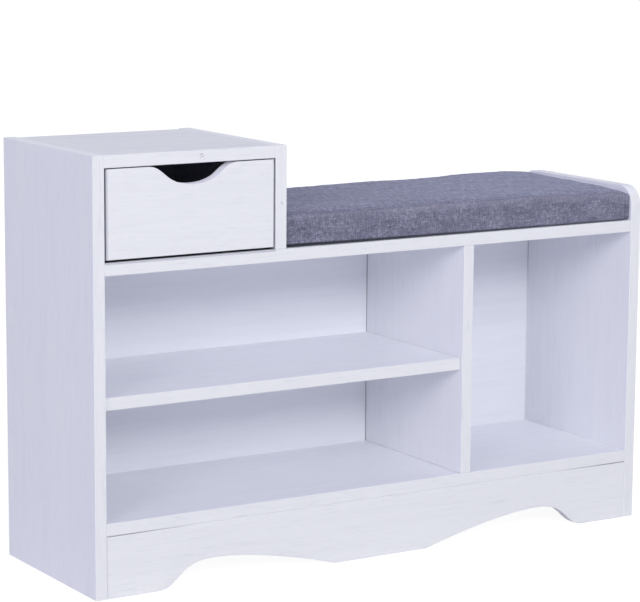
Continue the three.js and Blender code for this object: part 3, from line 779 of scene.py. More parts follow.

# %% [markdown]
# ### Painted light and shade on the linen
# The cover is darker towards its free end. On top it has a painted shade beside the tower and
# painted light on its free half. A painted highlight lies where the front rolls over to the top,
# and painted shade lies in the seams, down the front's free corner and round the foot. These
# places are distances from the cushion's tower end, from its free end and above its foot.

# %% Painted light and shade on the linen
TOWER_END, FREE_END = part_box("cushion_cover")[0].x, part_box("cushion_cover")[1].x
PAD_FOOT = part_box("cushion_cover")[0].z
SEAM_SHADE = 0.0013  # how far the dark of a seam reaches
# dark tones for the painted shade in the seams and round the foot
SEAM_DARK = swatch(30, 30, 42)
FOOT_DARK = swatch(6, 6, 10)
# darker linen for the free end and for painted shade, pale linen for painted light and a painted highlight
# on the shoulder
LINEN_DARKENED, PAINTED_LIGHT_PALE, SHOULDER_HIGHLIGHT = swatch(60, 60, 78), swatch(174, 176, 206), swatch(176, 175, 192)
RIM_SHADE = (0.0052, 0.0026)  # height of the shaded roll at the foot, by the tower and at the free end
END_DARKENING, END_MARGIN = 0.0385, 0.0005  # the free end darkens over this length, up to just past it
END_SHADE = 0.002  # width of the dark line down the front's free corner
SHOULDER_RISE = (0.0197, 0.0287)  # the painted highlight on the shoulder begins and is full at these heights above the foot


def along_pad(tree, start, end, at_start=0.0, at_end=1.0):
    """A value that changes between two distances from the cushion's tower end."""
    return levels(tree, own_place(tree)["X"], TOWER_END + start, TOWER_END + end, at_start, at_end)


def up_pad(tree, start, end):
    """A value that rises from 0 to 1 between two heights above the cushion's foot."""
    return levels(tree, own_place(tree)["Z"], PAD_FOOT + start, PAD_FOOT + end)


def painted_light_and_darkening(tree, tone, on_top):
    """The tone darker towards the free end, with painted shade on top beside the tower and painted light on
    the free half of the top.
    """
    darker_end = levels(tree, own_place(tree)["X"], FREE_END - END_DARKENING, FREE_END + END_MARGIN, 0.0, 0.2)
    # painted shade on the top beside the tower, and painted light on its free half
    tower_shade = product(tree, along_pad(tree, 0.0, 0.28, 0.18, 0.0), on_top)
    free_half_light = product(tree, along_pad(tree, 0.22, 0.39, 0.0, 0.11), on_top)
    tone = mixed(tree, free_half_light, tone, PAINTED_LIGHT_PALE)
    return mixed(tree, arithmetic(tree, "MAXIMUM", darker_end, tower_shade), tone, LINEN_DARKENED)


def foot_shade(tree):
    """Painted shade at the foot, lower and paler towards the free end."""
    rim_height = along_pad(tree, 0.0, 0.44, *RIM_SHADE)
    above_board = arithmetic(tree, "SUBTRACT", own_place(tree)["Z"], PAD_FOOT)
    near_board = levels(tree, arithmetic(tree, "DIVIDE", above_board, rim_height), 0.6, 1.0, 1.0, 0.0)
    return product(tree, near_board, along_pad(tree, 0.04, 0.48, 0.97, 0.45))


def shaded_seams(tree, tone):
    """The tone with a painted highlight on the front's shoulder, and painted shade in the seams, down the
    free corner and round the foot.
    """
    seam = attribute(tree, "seam", "Fac")
    in_front = levels(tree, towards(tree, "Y"), -0.8, -0.4, 1.0, 0.0)
    # painted highlight where the front rolls over to the top
    painted_shoulder_light = product(tree, levels(tree, seam, 0.0010, 0.0140, 0.34, 0.0), in_front,
                       up_pad(tree, *SHOULDER_RISE), along_pad(tree, 0.0, 0.18, 0.2, 1.0))
    tone = mixed(tree, painted_shoulder_light, tone, SHOULDER_HIGHLIGHT)
    # painted shade in the seams and down the front's free corner
    in_seam = levels(tree, seam, 0.0, SEAM_SHADE, 0.55, 0.0)
    at_end = levels(tree, own_place(tree)["X"], FREE_END - END_SHADE, FREE_END, 0.0, 0.4)
    dark = arithmetic(tree, "MAXIMUM", in_seam, product(tree, at_end, in_front))
    tone = mixed(tree, dark, tone, SEAM_DARK)
    # painted shade round the foot
    return mixed(tree, foot_shade(tree), tone, FOOT_DARK)


print("cushion from", round(TOWER_END, 4), "to", round(FREE_END, 4))

# %% Linen finish
def heather_linen():
    material, tree, shader = start_finish("heather_linen", 0.88, specular=0.25)
    shader.inputs["Sheen Weight"].default_value = 0.45
    shader.inputs["Sheen Roughness"].default_value = 0.45
    shader.inputs["Sheen Tint"].default_value = (0.78, 0.82, 1.0, 1.0)
    on_top = levels(tree, towards(tree, "Z"), 0.5, 0.9)
    yarns = woven_yarns(tree, on_top)
    cloud = on_weave(tree, (26.0, 60.0, 9.0), detail=4.0)
    drifting = product(tree, arithmetic(tree, "SUBTRACT", cloud, 0.5), 0.17)
    tone = ramp(tree, arithmetic(tree, "ADD", yarns, drifting), LINEN_TONES)
    # painted sky tint on the top panel
    tone = mixed(tree, on_top, tone, TOP_SKY_TINT, blend="MULTIPLY")
    tone = shaded_seams(tree, painted_light_and_darkening(tree, tone, on_top))
    relief = arithmetic(tree, "ADD", product(tree, woven_height(tree), 0.3), yarns)
    relief = arithmetic(tree, "ADD", relief, product(tree, cloud, 5.0))
    surface(tree, shader, tone, levels(tree, yarns, 0.3, 0.7, 0.95, 0.8), relief, 0.0006)
    return material


linen = heather_linen()
print("linen:", linen.name)

# %% [markdown]
# ## The seat cushion
# The cushion is a foam slab in a boxed cover: a top panel, a bottom panel and a strip between them.
# The foam pushes the cover out, and the seams hold it in, so the top is crowned, the sides swell
# between the corners, and the edges stay soft but clear. That balance is what a cloth simulation
# finds. It starts from a slightly smaller block whose panels are already laid out in even
# squares, so every seam is a row of points, and blows it up gently without gravity.

# %% Cushion start
PAD_LOW, PAD_HIGH = (np.array(corner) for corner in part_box("cushion_cover"))
PAD_INSET = np.array((0.0006, 0.0012, 0.0))
PAD_CORNER = 0.003
PAD_CELL = 0.004
pad_low, pad_high = PAD_LOW + PAD_INSET, PAD_HIGH - PAD_INSET
middle, half = (pad_low + pad_high) / 2, (pad_high - pad_low) / 2


def panel_squares(low, high, cell):
    """The six panels of a block in even squares that share their points along every edge."""
    counts = [round((top - bottom) / cell) for bottom, top in zip(low, high)]
    ticks = [np.linspace(bottom, top, n + 1) for bottom, top, n in zip(low, high, counts)]
    number, faces = {}, []
    for axis in range(3):
        a, b = (axis + 1) % 3, (axis + 2) % 3
        for side, p, q in itertools.product((0, counts[axis]), range(counts[a]), range(counts[b])):
            loop = []
            for step_p, step_q in ((0, 0), (1, 0), (1, 1), (0, 1)):
                key = [side] * 3
                key[a], key[b] = p + step_p, q + step_q
                loop.append(number.setdefault(tuple(key), len(number)))
            faces.append(loop if side else loop[::-1])
    return np.array([[ticks[axis][key[axis]] for axis in range(3)] for key in number]), faces


def corners_drawn_in(points):
    """Turns the square corners of the plan into arcs, without moving the straight sides."""
    out = points.copy()
    reach = np.maximum(np.abs(points[:, :2] - middle[:2]) - (half[:2] - PAD_CORNER), 0) / PAD_CORNER
    length = np.maximum(np.linalg.norm(reach, axis=1, keepdims=True), 1e-9)
    drawn = reach * reach.max(1, keepdims=True) / length
    out[:, :2] += np.sign(points[:, :2] - middle[:2]) * (drawn - reach) * PAD_CORNER
    return out


pad_rest, pad_faces = panel_squares(pad_low, pad_high, PAD_CELL)
pad_start = corners_drawn_in(pad_rest)
cushion = new_piece("seat_cushion", bpy.data.meshes.new("seat_cushion"))
cushion.data.from_pydata(pad_start.tolist(), [], pad_faces)
print("cushion start:", len(pad_rest), "points,", len(pad_faces), "squares")

# %% Mesh helpers
def applied(obj):
    """The object's mesh with its modifiers built in."""
    bpy.context.view_layer.update()
    done = bpy.data.meshes.new_from_object(obj.evaluated_get(bpy.context.evaluated_depsgraph_get()))
    obj.modifiers.clear()
    obj.data = done
    return obj


def vectors(items, key):
    """One vector of every item in a list of a mesh, as rows of an array."""
    values = np.empty(len(items) * 3, np.float32)
    items.foreach_get(key, values)
    return values.reshape(-1, 3)


def points_of(mesh):
    return vectors(mesh.vertices, "co").astype(float)


def set_points(mesh, places):
    mesh.vertices.foreach_set("co", np.ascontiguousarray(places, np.float32).ravel())
    mesh.update()


def top_of(obj):
    """The height of a piece's highest point, in millimetres."""
    return round(float(points_of(obj.data)[:, 2].max()) * 1000, 1)


def store(mesh, name, kind, domain, values):
    """Keeps numbers or vectors on a mesh as a named attribute."""
    attribute = mesh.attributes.new(name, kind, domain)
    key = "vector" if kind == "FLOAT_VECTOR" else "value"
    attribute.data.foreach_set(key, np.ascontiguousarray(values, np.float32).ravel())


print("mesh helpers ready")

# %% [markdown]
# ### Blowing it up
# Twenty frames of cloth with a little inside pressure are enough. How far any point may move is
# capped, because foam gives way far less than air. The unmoved place of every point is kept in an
# attribute named `rest`: seams and weave are laid out on that flat, regular block later on.

# %% Inflate
INFLATE_FRAMES = 20
INFLATE_CAP = 0.0034
CLOTH = {
    "quality": 6, "mass": 0.3, "tension_stiffness": 15.0, "compression_stiffness": 15.0,
    "shear_stiffness": 5.0, "bending_stiffness": 0.6, "use_pressure": True, "uniform_pressure_force": 4.0}


def inflate(obj):
    cloth = obj.modifiers.new("inflate", "CLOTH")
    for setting, value in CLOTH.items():
        setattr(cloth.settings, setting, value)
    cloth.settings.effector_weights.gravity = 0.0
    cloth.point_cache.frame_start, cloth.point_cache.frame_end = 1, INFLATE_FRAMES
    for frame_number in range(1, INFLATE_FRAMES + 1):
        bpy.context.scene.frame_set(frame_number)
    applied(obj)
    bpy.context.scene.frame_set(1)


def capped(start, moved, cap):
    """Moved points whose steps approach a cap and never pass it."""
    step = moved - start
    length = np.linalg.norm(step, axis=1, keepdims=True)
    return start + step * (cap * np.tanh(length / cap) / np.maximum(length, 1e-9))


inflate(cushion)
swollen = capped(pad_start, points_of(cushion.data), INFLATE_CAP)
swelling = swollen - pad_start
print("cushion swelled by up to", (np.abs(swelling).max(0) * 1000).round(1), "mm")

# %% [markdown]
# ### Settling it
# The cushion rests on the seat board, so its underside is flat. Its neighbours hold its ends, so
# they swell less than its top. Use has pressed its front edge a little lower than its crown, most
# of all at the free end, and has drawn the front back a little beside the drawer tower. These are
# the shares along the cushion, from the tower to the free end, and the heights of the top seam.
# The rim of the underside curls up a little from the board, which leaves a dark line of shadow.

# %% Settle
FRONT_HEIGHTS = [(0.0, 0.0400), (0.02, 0.0418), (0.12, 0.0408), (0.7, 0.0408), (0.8, 0.0398), (0.9, 0.0390),
                 (0.96, 0.0370), (1.0, 0.0335)]
BACK_HEIGHTS = [(0.0, 0.0409), (0.28, 0.0411), (0.38, 0.0419), (0.7, 0.0420), (0.81, 0.0447),
                (0.9, 0.0438), (0.96, 0.0415), (1.0, 0.0392)]
FRONT_SETBACK = [(0.0, 0.0032), (0.08, 0.0018), (0.2, 0.0), (1.0, 0.0)]
SETBACK_REACH = 0.12  # the share of the cushion's depth over which the set-back front straightens out
RIM_LIFT = [(0.0, 0.0010), (0.97, 0.0009), (0.99, 0.0018), (1.0, 0.0032)]
END_CROWN = 0.0026  # how far the seam of the free end stands up in its front half
END_CROWN_START, END_CROWN_RUN = 0.88, 0.1  # the share along the cushion where that begins, and its run
END_PRESS = 0.0010  # how far the free end spreads past its nominal size, against its panel
SWELL_SHARE = np.array((0.35, 0.40, 0.85))
TOUCH = 1e-5  # a point this near to a panel's plane lies on that panel


def profile(stations, at):
    return np.interp(at, [s for s, _ in stations], [value for _, value in stations])


def side_inset(points):
    """How far a point lies inside the nearest side, seen from above."""
    return np.maximum((half[:2] - np.abs(points[:, :2] - middle[:2])).min(1), 0)


def top_seam_height(along, back):
    """The height of the top seam at a share of the length and of the depth."""
    blend = back * back * (3 - 2 * back)
    height = profile(FRONT_HEIGHTS, along) * (1 - blend) + profile(BACK_HEIGHTS, along) * blend
    crown = END_CROWN * np.clip((along - END_CROWN_START) / END_CROWN_RUN, 0, 1)
    return height + crown * 6.75 * back * (1 - back) ** 2  # full at a third of the depth, 0 at its edges


def settled(rest, start, swelling):
    out = start + swelling * SWELL_SHARE
    along, back = ((rest[:, a] - pad_low[a]) / (pad_high[a] - pad_low[a]) for a in (0, 1))
    full_height = (PAD_HIGH - PAD_LOW)[2]
    out[:, 2] = PAD_LOW[2] + (out[:, 2] - PAD_LOW[2]) * top_seam_height(along, back) / full_height
    out[:, 0] = np.where(rest[:, 0] > pad_high[0] - TOUCH, PAD_HIGH[0] + END_PRESS, out[:, 0])
    lift = np.where(side_inset(rest) < PAD_CELL / 2, profile(RIM_LIFT, along), 0.0)
    on_foot = rest[:, 2] < pad_low[2] + TOUCH
    out[:, 2] = np.where(on_foot, PAD_LOW[2] + lift, np.maximum(out[:, 2], PAD_LOW[2]))
    out[:, 1] += profile(FRONT_SETBACK, along) * np.clip(1 - back / SETBACK_REACH, 0, 1)
    return out


set_points(cushion.data, settled(pad_rest, pad_start, swelling))
store(cushion.data, "rest", "FLOAT_VECTOR", "POINT", pad_rest)
print("cushion settled, top at", top_of(cushion), "mm")

# %% [markdown]
# ### The filling
# Inside the cover is the foam block itself. It is the same form, moved in by the thickness of the
# cloth and its seam allowance, and it is never seen unless the cushion is opened.

# %% Foam filling
FOAM_INSET = 0.0036


def foam_finish():
    material, tree, shader = start_finish("seat_foam", 0.95, specular=0.1)
    cells = add_node(tree, "ShaderNodeTexVoronoi", {
        "Vector": stretched(tree, (900.0, 900.0, 900.0)), "Scale": 1.0}).outputs["Distance"]
    tone = mixed(tree, levels(tree, cells, 0.1, 0.7), swatch(243, 236, 214), swatch(228, 218, 190))
    surface(tree, shader, tone, levels(tree, cells, 0.0, 0.8, 0.9, 1.0), cells, 0.0004)
    return material


filling = new_piece("cushion_filling", cushion.data.copy(), foam_finish())
set_points(filling.data, points_of(filling.data) - vectors(filling.data.vertices, "normal") * FOAM_INSET)
print("filling:", len(filling.data.vertices), "points")

# %% [markdown]
# ### Finer cloth
# One subdivision gives the cover enough points for its seams. The `rest` attribute is carried
# along, so every new point still knows where it lies on the flat block.

# %% Subdivide
finer = cushion.modifiers.new("finer", "SUBSURF")
finer.levels = finer.render_levels = 1
applied(cushion)
fine_rest = vectors(cushion.data.attributes["rest"].data, "vector").astype(float)
print("cushion now has", len(cushion.data.polygons), "faces")

# %% [markdown]
# ### Seams
# A boxed cover has a seam all round its top edge, another round its bottom edge, and upright ones
# where the strip is joined. At a seam the cloth is pulled in, and the turned-in edges beneath make
# a low ridge on either side. The distance of every point to its nearest seam is measured on the
# flat block, and that one number drives the groove, the ridge and small puckers.

# %% Seam distances
UPRIGHT_SEAM = 0.0065  # from the free end, on the front of the strip
TOP_SEAM_SOFTER = 0.0006  # the top seam is pulled less tight than the bottom one
ZIP_WELT = 0.0036  # the cloth is folded this far above and below the middle of the zip
zip_low, zip_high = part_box("cushion_zip")
zip_middle = (zip_low + zip_high) / 2
rear_height = profile(BACK_HEIGHTS, 0.5)
ZIP_REST_HEIGHT = PAD_LOW[2] + (zip_middle.z - PAD_LOW[2]) * (PAD_HIGH[2] - PAD_LOW[2]) / rear_height


def seam_distance(points):
    """How far each point of the flat block lies from its nearest seam."""
    inset = side_inset(points)
    below_top = np.maximum(pad_high[2] - points[:, 2], 0) + TOP_SEAM_SOFTER
    above_bottom = np.maximum(points[:, 2] - pad_low[2], 0)
    upright = np.abs(points[:, 0] - (pad_high[0] - UPRIGHT_SEAM)) + inset
    upright = np.where(points[:, 1] < middle[1], upright, 1.0)
    welt = np.abs(np.abs(points[:, 2] - ZIP_REST_HEIGHT) - ZIP_WELT)
    past_zip = np.maximum(np.abs(points[:, 0] - zip_middle.x) - (zip_high.x - zip_low.x) / 2, 0)
    welt = np.where(points[:, 1] > middle[1], welt + past_zip + inset, 1.0)
    return np.minimum.reduce([inset + below_top, inset + above_bottom, upright, welt])


to_seam = seam_distance(fine_rest)
print("points within 4 mm of a seam:", int((to_seam < 0.004).sum()))

# %% Sew the seams
SEAM_DEPTH, SEAM_WIDTH = 0.0011, 0.0019
RIDGE_HEIGHT, RIDGE_PLACE = 0.0004, 2.4  # the place is in seam widths from the seam
PUCKER_LENGTH, PUCKER_HEIGHT, PUCKER_REACH, PUCKER_SEED = 0.011, 0.0006, 0.012, 3
WRINKLE_LENGTH, WRINKLE_HEIGHT, WRINKLE_SEED = 0.06, 0.0009, 8
WRINKLE_SQUASH = np.array((1.0, 1.4, 1.0))  # wrinkles are shorter from front to back
FOOT_HEIGHT = 0.004  # below this, the cover is held flat by the board it rests on
COVER_PRESS = np.array((0.0008, 0.0004, 0.0))
COVER_STAND = np.array((0.0012, 0.0, 0.01))
SEED_STEP = (13.7, 5.1, 9.3)  # how far one seed is from the next in the noise's field


def smooth_noise(points, scale, seed):
    """Smooth noise for every point, from -1 to 1; the seed shifts it to another part of its field."""
    shift = Vector([seed * step for step in SEED_STEP])
    return np.array([noise.noise(Vector(p) * scale + shift) for p in points])


def sewn(mesh, rest, distance):
    """The cover's points with grooves, ridges, puckers and wrinkles, kept near the cushion's box."""
    groove = -SEAM_DEPTH * np.exp(-(distance / SEAM_WIDTH) ** 2)
    ridge = RIDGE_HEIGHT * np.exp(-((distance - RIDGE_PLACE * SEAM_WIDTH) / SEAM_WIDTH) ** 2)
    near = np.exp(-(distance / PUCKER_REACH) ** 2)
    pucker = PUCKER_HEIGHT * near * smooth_noise(rest, 1 / PUCKER_LENGTH, PUCKER_SEED)
    wrinkle = WRINKLE_HEIGHT * smooth_noise(rest * WRINKLE_SQUASH, 1 / WRINKLE_LENGTH, WRINKLE_SEED)
    resting = np.clip((rest[:, 2] - pad_low[2]) / FOOT_HEIGHT, 0, 1)
    move = (groove + ridge + pucker + wrinkle) * resting
    moved = points_of(mesh) + vectors(mesh.vertices, "normal") * move[:, None]
    return np.clip(moved, PAD_LOW - COVER_PRESS, PAD_HIGH + COVER_STAND)


set_points(cushion.data, sewn(cushion.data, fine_rest, to_seam))
print("sewn; top now at", top_of(cushion), "mm")

# %% [markdown]
# ### Laying out the weave
# Each panel of the cover is cut flat, so the yarns run straight across it and stop at its seams.
# Every face is given to the panel it was cut from, and its corners take their place on that flat
# panel from `rest`. The third number keeps the panels' patterns apart.

# %% Weave and seam attributes
PANEL_GAP = 0.37  # how far apart the panels lie in the pattern


def panel_layout(mesh, rest):
    """For every face corner, its place on the flat panel that it was cut from."""
    corner_point = np.empty(len(mesh.loops), np.int32)
    mesh.loops.foreach_get("vertex_index", corner_point)
    corner_face = np.repeat(np.arange(len(mesh.polygons)), [p.loop_total for p in mesh.polygons])
    counts = np.bincount(corner_face)
    centre = np.stack([np.bincount(corner_face, rest[corner_point, a]) / counts for a in range(3)], 1)
    reach = np.abs(centre - middle) - half
    flat = reach[:, 2] > reach[:, :2].max(1)
    end_side = reach[:, 0] > reach[:, 1]
    panel = np.where(flat, 0, np.where(end_side, 1, 2)) + 3 * (centre[:, 1] > middle[1])
    at, kind = rest[corner_point], panel[corner_face] % 3
    u = np.where(kind == 1, at[:, 1], at[:, 0])
    v = np.where(kind == 0, at[:, 1], at[:, 2])
    return np.stack([u, v, panel[corner_face] * PANEL_GAP], 1)


store(cushion.data, "weave", "FLOAT_VECTOR", "CORNER", panel_layout(cushion.data, fine_rest))
store(cushion.data, "seam", "FLOAT", "POINT", to_seam)
dress(cushion, linen)
for piece in (cushion, filling):
    piece.data.attributes.remove(piece.data.attributes["rest"])
    piece.data.shade_smooth()
print("weave laid out on", cushion.name)

# %% [markdown]
# ## Bars in a row
# Zip teeth and stitches are one thing made twice: small round bars at even steps along a line. An
# array modifier would not follow the cushion's curved back, so one Geometry Nodes tree makes both.
# The modifier's own mesh is the line, the tree sets a bar at every step of it, and named inputs
# say how far apart, how long and how thick the bars are. The tree ends in real geometry.

# %% Trees with named inputs
def geometry_tree(name, sockets):
    """An empty tree with a mesh in, a mesh out, and a named input for each of its sizes."""
    tree = bpy.data.node_groups.new(name, "GeometryNodeTree")
    tree.interface.new_socket("Mesh", in_out="INPUT", socket_type="NodeSocketGeometry")
    tree.interface.new_socket("Mesh", in_out="OUTPUT", socket_type="NodeSocketGeometry")
    for title, kind in sockets:
        tree.interface.new_socket(title, in_out="INPUT", socket_type="NodeSocket" + kind)
    return tree, tree.nodes.new("NodeGroupInput").outputs, tree.nodes.new("NodeGroupOutput").inputs[0]


def random_float(tree, low, high, seed):
    """A random number for every point: sockets 2 and 3 are the range of the float kind, 8 the seed."""
    made = add_node(tree, "FunctionNodeRandomValue", {2: low, 3: high, 8: seed}, data_type="FLOAT")
    return made.outputs[1]


def finished(tree, instances, finish, result):
    """Turns instances into real, smooth geometry with its finish."""
    real = add_node(tree, "GeometryNodeRealizeInstances", {0: instances}).outputs[0]
    smooth = add_node(tree, "GeometryNodeSetShadeSmooth", {0: real}).outputs[0]
    done = add_node(tree, "GeometryNodeSetMaterial", {0: smooth, "Material": finish}).outputs[0]
    tree.links.new(done, result)


def run_tree(tree, obj, values):
    """Runs a tree on an object with these inputs, and keeps only the mesh that it made."""
    modifier = obj.modifiers.new(tree.name, "NODES")
    modifier.node_group = tree
    for item in tree.interface.items_tree:
        if item.in_out == "INPUT" and item.name in values:
            modifier[item.identifier] = values[item.name]
    return applied(obj)


print("tree helpers ready")

# %% Bar row tree
BAR_SIDES, BAR_RINGS = 8, 6


def bar_row():
    """Bars at even steps along a line, upright or along it, leaning to either side in turn."""
    tree, given, result = geometry_tree("bar_row", [
        ("Step", "Float"), ("Bar Length", "Float"), ("Bar Thickness", "Float"), ("Side Shift", "Float"),
        ("Upright", "Float"), ("Unevenness", "Float"), ("Seed", "Int"), ("Finish", "Material")])
    line = add_node(tree, "GeometryNodeMeshToCurve", {"Mesh": given["Mesh"]}).outputs[0]
    steps = add_node(tree, "GeometryNodeCurveToPoints", {
        "Curve": line, "Length": given["Step"]}, mode="LENGTH").outputs
    index = add_node(tree, "GeometryNodeInputIndex").outputs[0]
    side = arithmetic(tree, "SUBTRACT", arithmetic(tree, "MODULO", index, 2.0), 0.5)
    shift = add_node(tree, "ShaderNodeCombineXYZ", {
        "Z": product(tree, side, given["Side Shift"])}).outputs[0]
    points = add_node(tree, "GeometryNodeSetPosition", {
        "Geometry": steps["Points"], "Offset": shift}).outputs[0]
    way = add_node(tree, "ShaderNodeMix", {
        0: given["Upright"], 4: steps["Tangent"], 5: (0.0, 0.0, 1.0)}, data_type="VECTOR").outputs[1]
    turn = add_node(tree, "FunctionNodeAlignRotationToVector", {"Vector": way}, axis="Z").outputs[0]
    bar = add_node(tree, "GeometryNodeMeshUVSphere", {
        "Segments": BAR_SIDES, "Rings": BAR_RINGS, "Radius": 0.5}).outputs[0]
    uneven = random_float(tree, arithmetic(tree, "SUBTRACT", 1.0, given["Unevenness"]), 1.0, given["Seed"])
    size = add_node(tree, "ShaderNodeCombineXYZ", {
        "X": given["Bar Thickness"], "Y": given["Bar Thickness"],
        "Z": product(tree, given["Bar Length"], uneven)}).outputs[0]
    bars = add_node(tree, "GeometryNodeInstanceOnPoints", {
        "Points": points, "Instance": bar, "Rotation": turn, "Scale": size}).outputs[0]
    finished(tree, bars, given["Finish"], result)
    return tree


bar_row_tree = bar_row()
print("bar row:", len(bar_row_tree.nodes), "nodes")

# %% [markdown]
# ## The zip
# A cover that comes off for washing has a zip, and it sits in the back of the strip, where nobody
# looks. Its tape is a narrow band that follows the cushion's back. The coil's teeth come from the
# tree, leaning to either side in turn. The slider is a small bevelled block with a pull tab, and a
# stop closes each end.

# %% Line on the cushion's back
cushion_surface = BVHTree.FromPolygons(
    [Vector(point) for point in points_of(cushion.data)],
    [list(face.vertices) for face in cushion.data.polygons])
LINE_STEP = 0.005
BEHIND = 0.05  # where the rays start, behind the cushion


def behind(x, z, proud=0.0):
    """The point of the cushion's back at this place, and a little way out from it."""
    hit = cushion_surface.ray_cast(Vector((x, PAD_HIGH[1] + BEHIND, z)), Vector((0.0, -1.0, 0.0)))[0]
    return Vector((x, hit.y + proud, z))


def line_behind(name, start, end, z, proud):
    count = round((end - start) / LINE_STEP)
    places = [behind(start + (end - start) * step / count, z, proud) for step in range(count + 1)]
    mesh = bpy.data.meshes.new(name)
    mesh.from_pydata(places, [(step, step + 1) for step in range(count)], [])
    return new_piece(name, mesh)


print("back of the cushion at", round(behind(zip_middle.x, zip_middle.z).y * 1000, 1), "mm")

# %% Zip and thread finishes
def thread_finish():
    material, tree, shader = start_finish("sewing_thread", 0.7, specular=0.3)
    twist = add_node(tree, "ShaderNodeTexWave", {
        "Vector": stretched(tree, (1.0, 1.0, 1.0)), "Scale": 420.0, "Distortion": 1.5},
        bands_direction="DIAGONAL").outputs["Fac"]
    tone = mixed(tree, twist, swatch(74, 74, 92), swatch(112, 112, 132))
    surface(tree, shader, tone, levels(tree, twist, 0.0, 1.0, 0.6, 0.8), twist, 0.0001)
    return material


tape_cloth = speckled_finish(
    "zip_tape", (1400.0, 1400.0, 260.0), (swatch(70, 70, 82), swatch(98, 98, 112)),
    (0.72, 0.88), 0.0002, specular=0.25)
coil_nylon = speckled_finish(
    "zip_coil", (300.0, 300.0, 300.0), (swatch(52, 52, 62), swatch(82, 83, 96)),
    (0.28, 0.45), 0.00002, spread=(0.35, 0.7))
thread = thread_finish()
print("zip finishes:", tape_cloth.name, coil_nylon.name, thread.name)

# %% Zip tape
TAPE_SECTION = [  # height from the zip's middle, and how proud the tape stands there
    (-0.0036, -0.0006), (-0.0027, 0.0004), (-0.0013, 0.0006), (0.0, 0.0003),
    (0.0013, 0.0006), (0.0027, 0.0004), (0.0036, -0.0006)]
TAPE_THICKNESS = 0.0005


def tape():
    """A band of the tape's section that follows the cushion's back, then made thick."""
    count = round((zip_high.x - zip_low.x) / LINE_STEP)
    wide = len(TAPE_SECTION)
    places, faces = [], []
    for step in range(count + 1):
        x = zip_low.x + (zip_high.x - zip_low.x) * step / count
        places += [behind(x, zip_middle.z + up, out) for up, out in TAPE_SECTION]
    for step, row in itertools.product(range(count), range(wide - 1)):
        corner = step * wide + row
        faces.append((corner, corner + 1, corner + wide + 1, corner + wide))
    mesh = bpy.data.meshes.new("zip_tape")
    mesh.from_pydata(places, [], faces)
    piece = new_piece("zip_tape", mesh, tape_cloth)
    thick = piece.modifiers.new("thickness", "SOLIDIFY")
    thick.thickness, thick.offset = TAPE_THICKNESS, -1.0
    applied(piece)
    piece.data.shade_smooth()
    return piece


zip_tape_piece = tape()
print("zip tape:", len(zip_tape_piece.data.polygons), "faces")

# %% Zip teeth and stitches
TOOTH_INSET = 0.004  # the teeth start and end this far inside the tape
TOOTH_PROUD, STITCH_PROUD = 0.0009, 0.0001
STITCH_ROWS = 0.0066  # from the zip's middle
STITCH_OVERRUN = 0.006  # the stitches run on this far past the tape
TOOTH = {
    "Step": 0.0013, "Bar Length": 0.0026, "Bar Thickness": 0.0010, "Side Shift": 0.0015,
    "Upright": 1.0, "Unevenness": 0.03, "Seed": 3, "Finish": coil_nylon}
STITCH = {
    "Step": 0.0036, "Bar Length": 0.0029, "Bar Thickness": 0.0006, "Side Shift": 0.0002,
    "Upright": 0.0, "Unevenness": 0.14, "Finish": thread}

tooth_line = line_behind(
    "zip_teeth", zip_low.x + TOOTH_INSET, zip_high.x - TOOTH_INSET, zip_middle.z, TOOTH_PROUD)
teeth = run_tree(bar_row_tree, tooth_line, TOOTH)
stitch_rows = []
for name, up, seed in (("stitches_above_zip", STITCH_ROWS, 11), ("stitches_below_zip", -STITCH_ROWS, 12)):
    row = line_behind(
        name, zip_low.x - STITCH_OVERRUN, zip_high.x + STITCH_OVERRUN, zip_middle.z + up, STITCH_PROUD)
    stitch_rows.append(run_tree(bar_row_tree, row, {**STITCH, "Seed": seed}))
print("teeth and stitches:", [len(piece.data.polygons) for piece in (teeth, *stitch_rows)], "faces")

# %% Block and tab of a zip slider
TAB_WIDTH, TAB_LENGTH, TAB_THICKNESS = 0.0046, 0.0135, 0.0008
TAB_TAPER, EYE_SHARE = 0.85, 0.5  # the tab's lower end and its eye, as shares of its half width
TAB_LEAN = 8  # degrees that the tab stands away from the tape


def soft_block(bm, place, size, radius):
    """A block with rounded edges, added to a mesh that is being built."""
    block = Matrix.Translation(place) @ Matrix.Diagonal((*size, 1.0))
    made = bmesh.ops.create_cube(bm, size=1.0, matrix=block)
    edges = list(dict.fromkeys(edge for vert in made["verts"] for edge in vert.link_edges))
    bmesh.ops.bevel(bm, geom=edges, offset=radius, segments=3, profile=0.5, affect="EDGES")


def arc(radius, angles, drop=0.0):
    """Points on a circle at these angles, moved down by a drop."""
    return [(radius * math.cos(angle), radius * math.sin(angle) - drop) for angle in angles]


def pull_tab(place):
    """A flat tab with round ends and an eye, hanging from the slider: a filled curve with a hole."""
    curve = bpy.data.curves.new("pull_tab", "CURVE")
    curve.dimensions, curve.fill_mode, curve.extrude = "2D", "BOTH", TAB_THICKNESS / 2
    radius, drop = TAB_WIDTH / 2, TAB_LENGTH - TAB_WIDTH
    outline = arc(radius, np.linspace(0, math.pi, 13))
    outline += arc(TAB_TAPER * radius, np.linspace(math.pi, 2 * math.pi, 13), drop)
    eye = arc(EYE_SHARE * radius, np.linspace(0, 2 * math.pi, 16, endpoint=False))
    for ring in (outline, eye):
        spline = curve.splines.new("POLY")
        spline.points.add(len(ring) - 1)
        for point, (x, y) in zip(spline.points, ring):
            point.co = (x, y, 0.0, 1.0)
        spline.use_cyclic_u = True
    holder = bpy.data.objects.new("pull_tab", curve)
    mesh = bpy.data.meshes.new_from_object(holder)
    mesh.transform(Matrix.Translation(place) @ Matrix.Rotation(math.radians(90 - TAB_LEAN), 4, "X"))
    bpy.data.objects.remove(holder)
    return mesh


print("pull tab", TAB_LENGTH * 1000, "mm long")

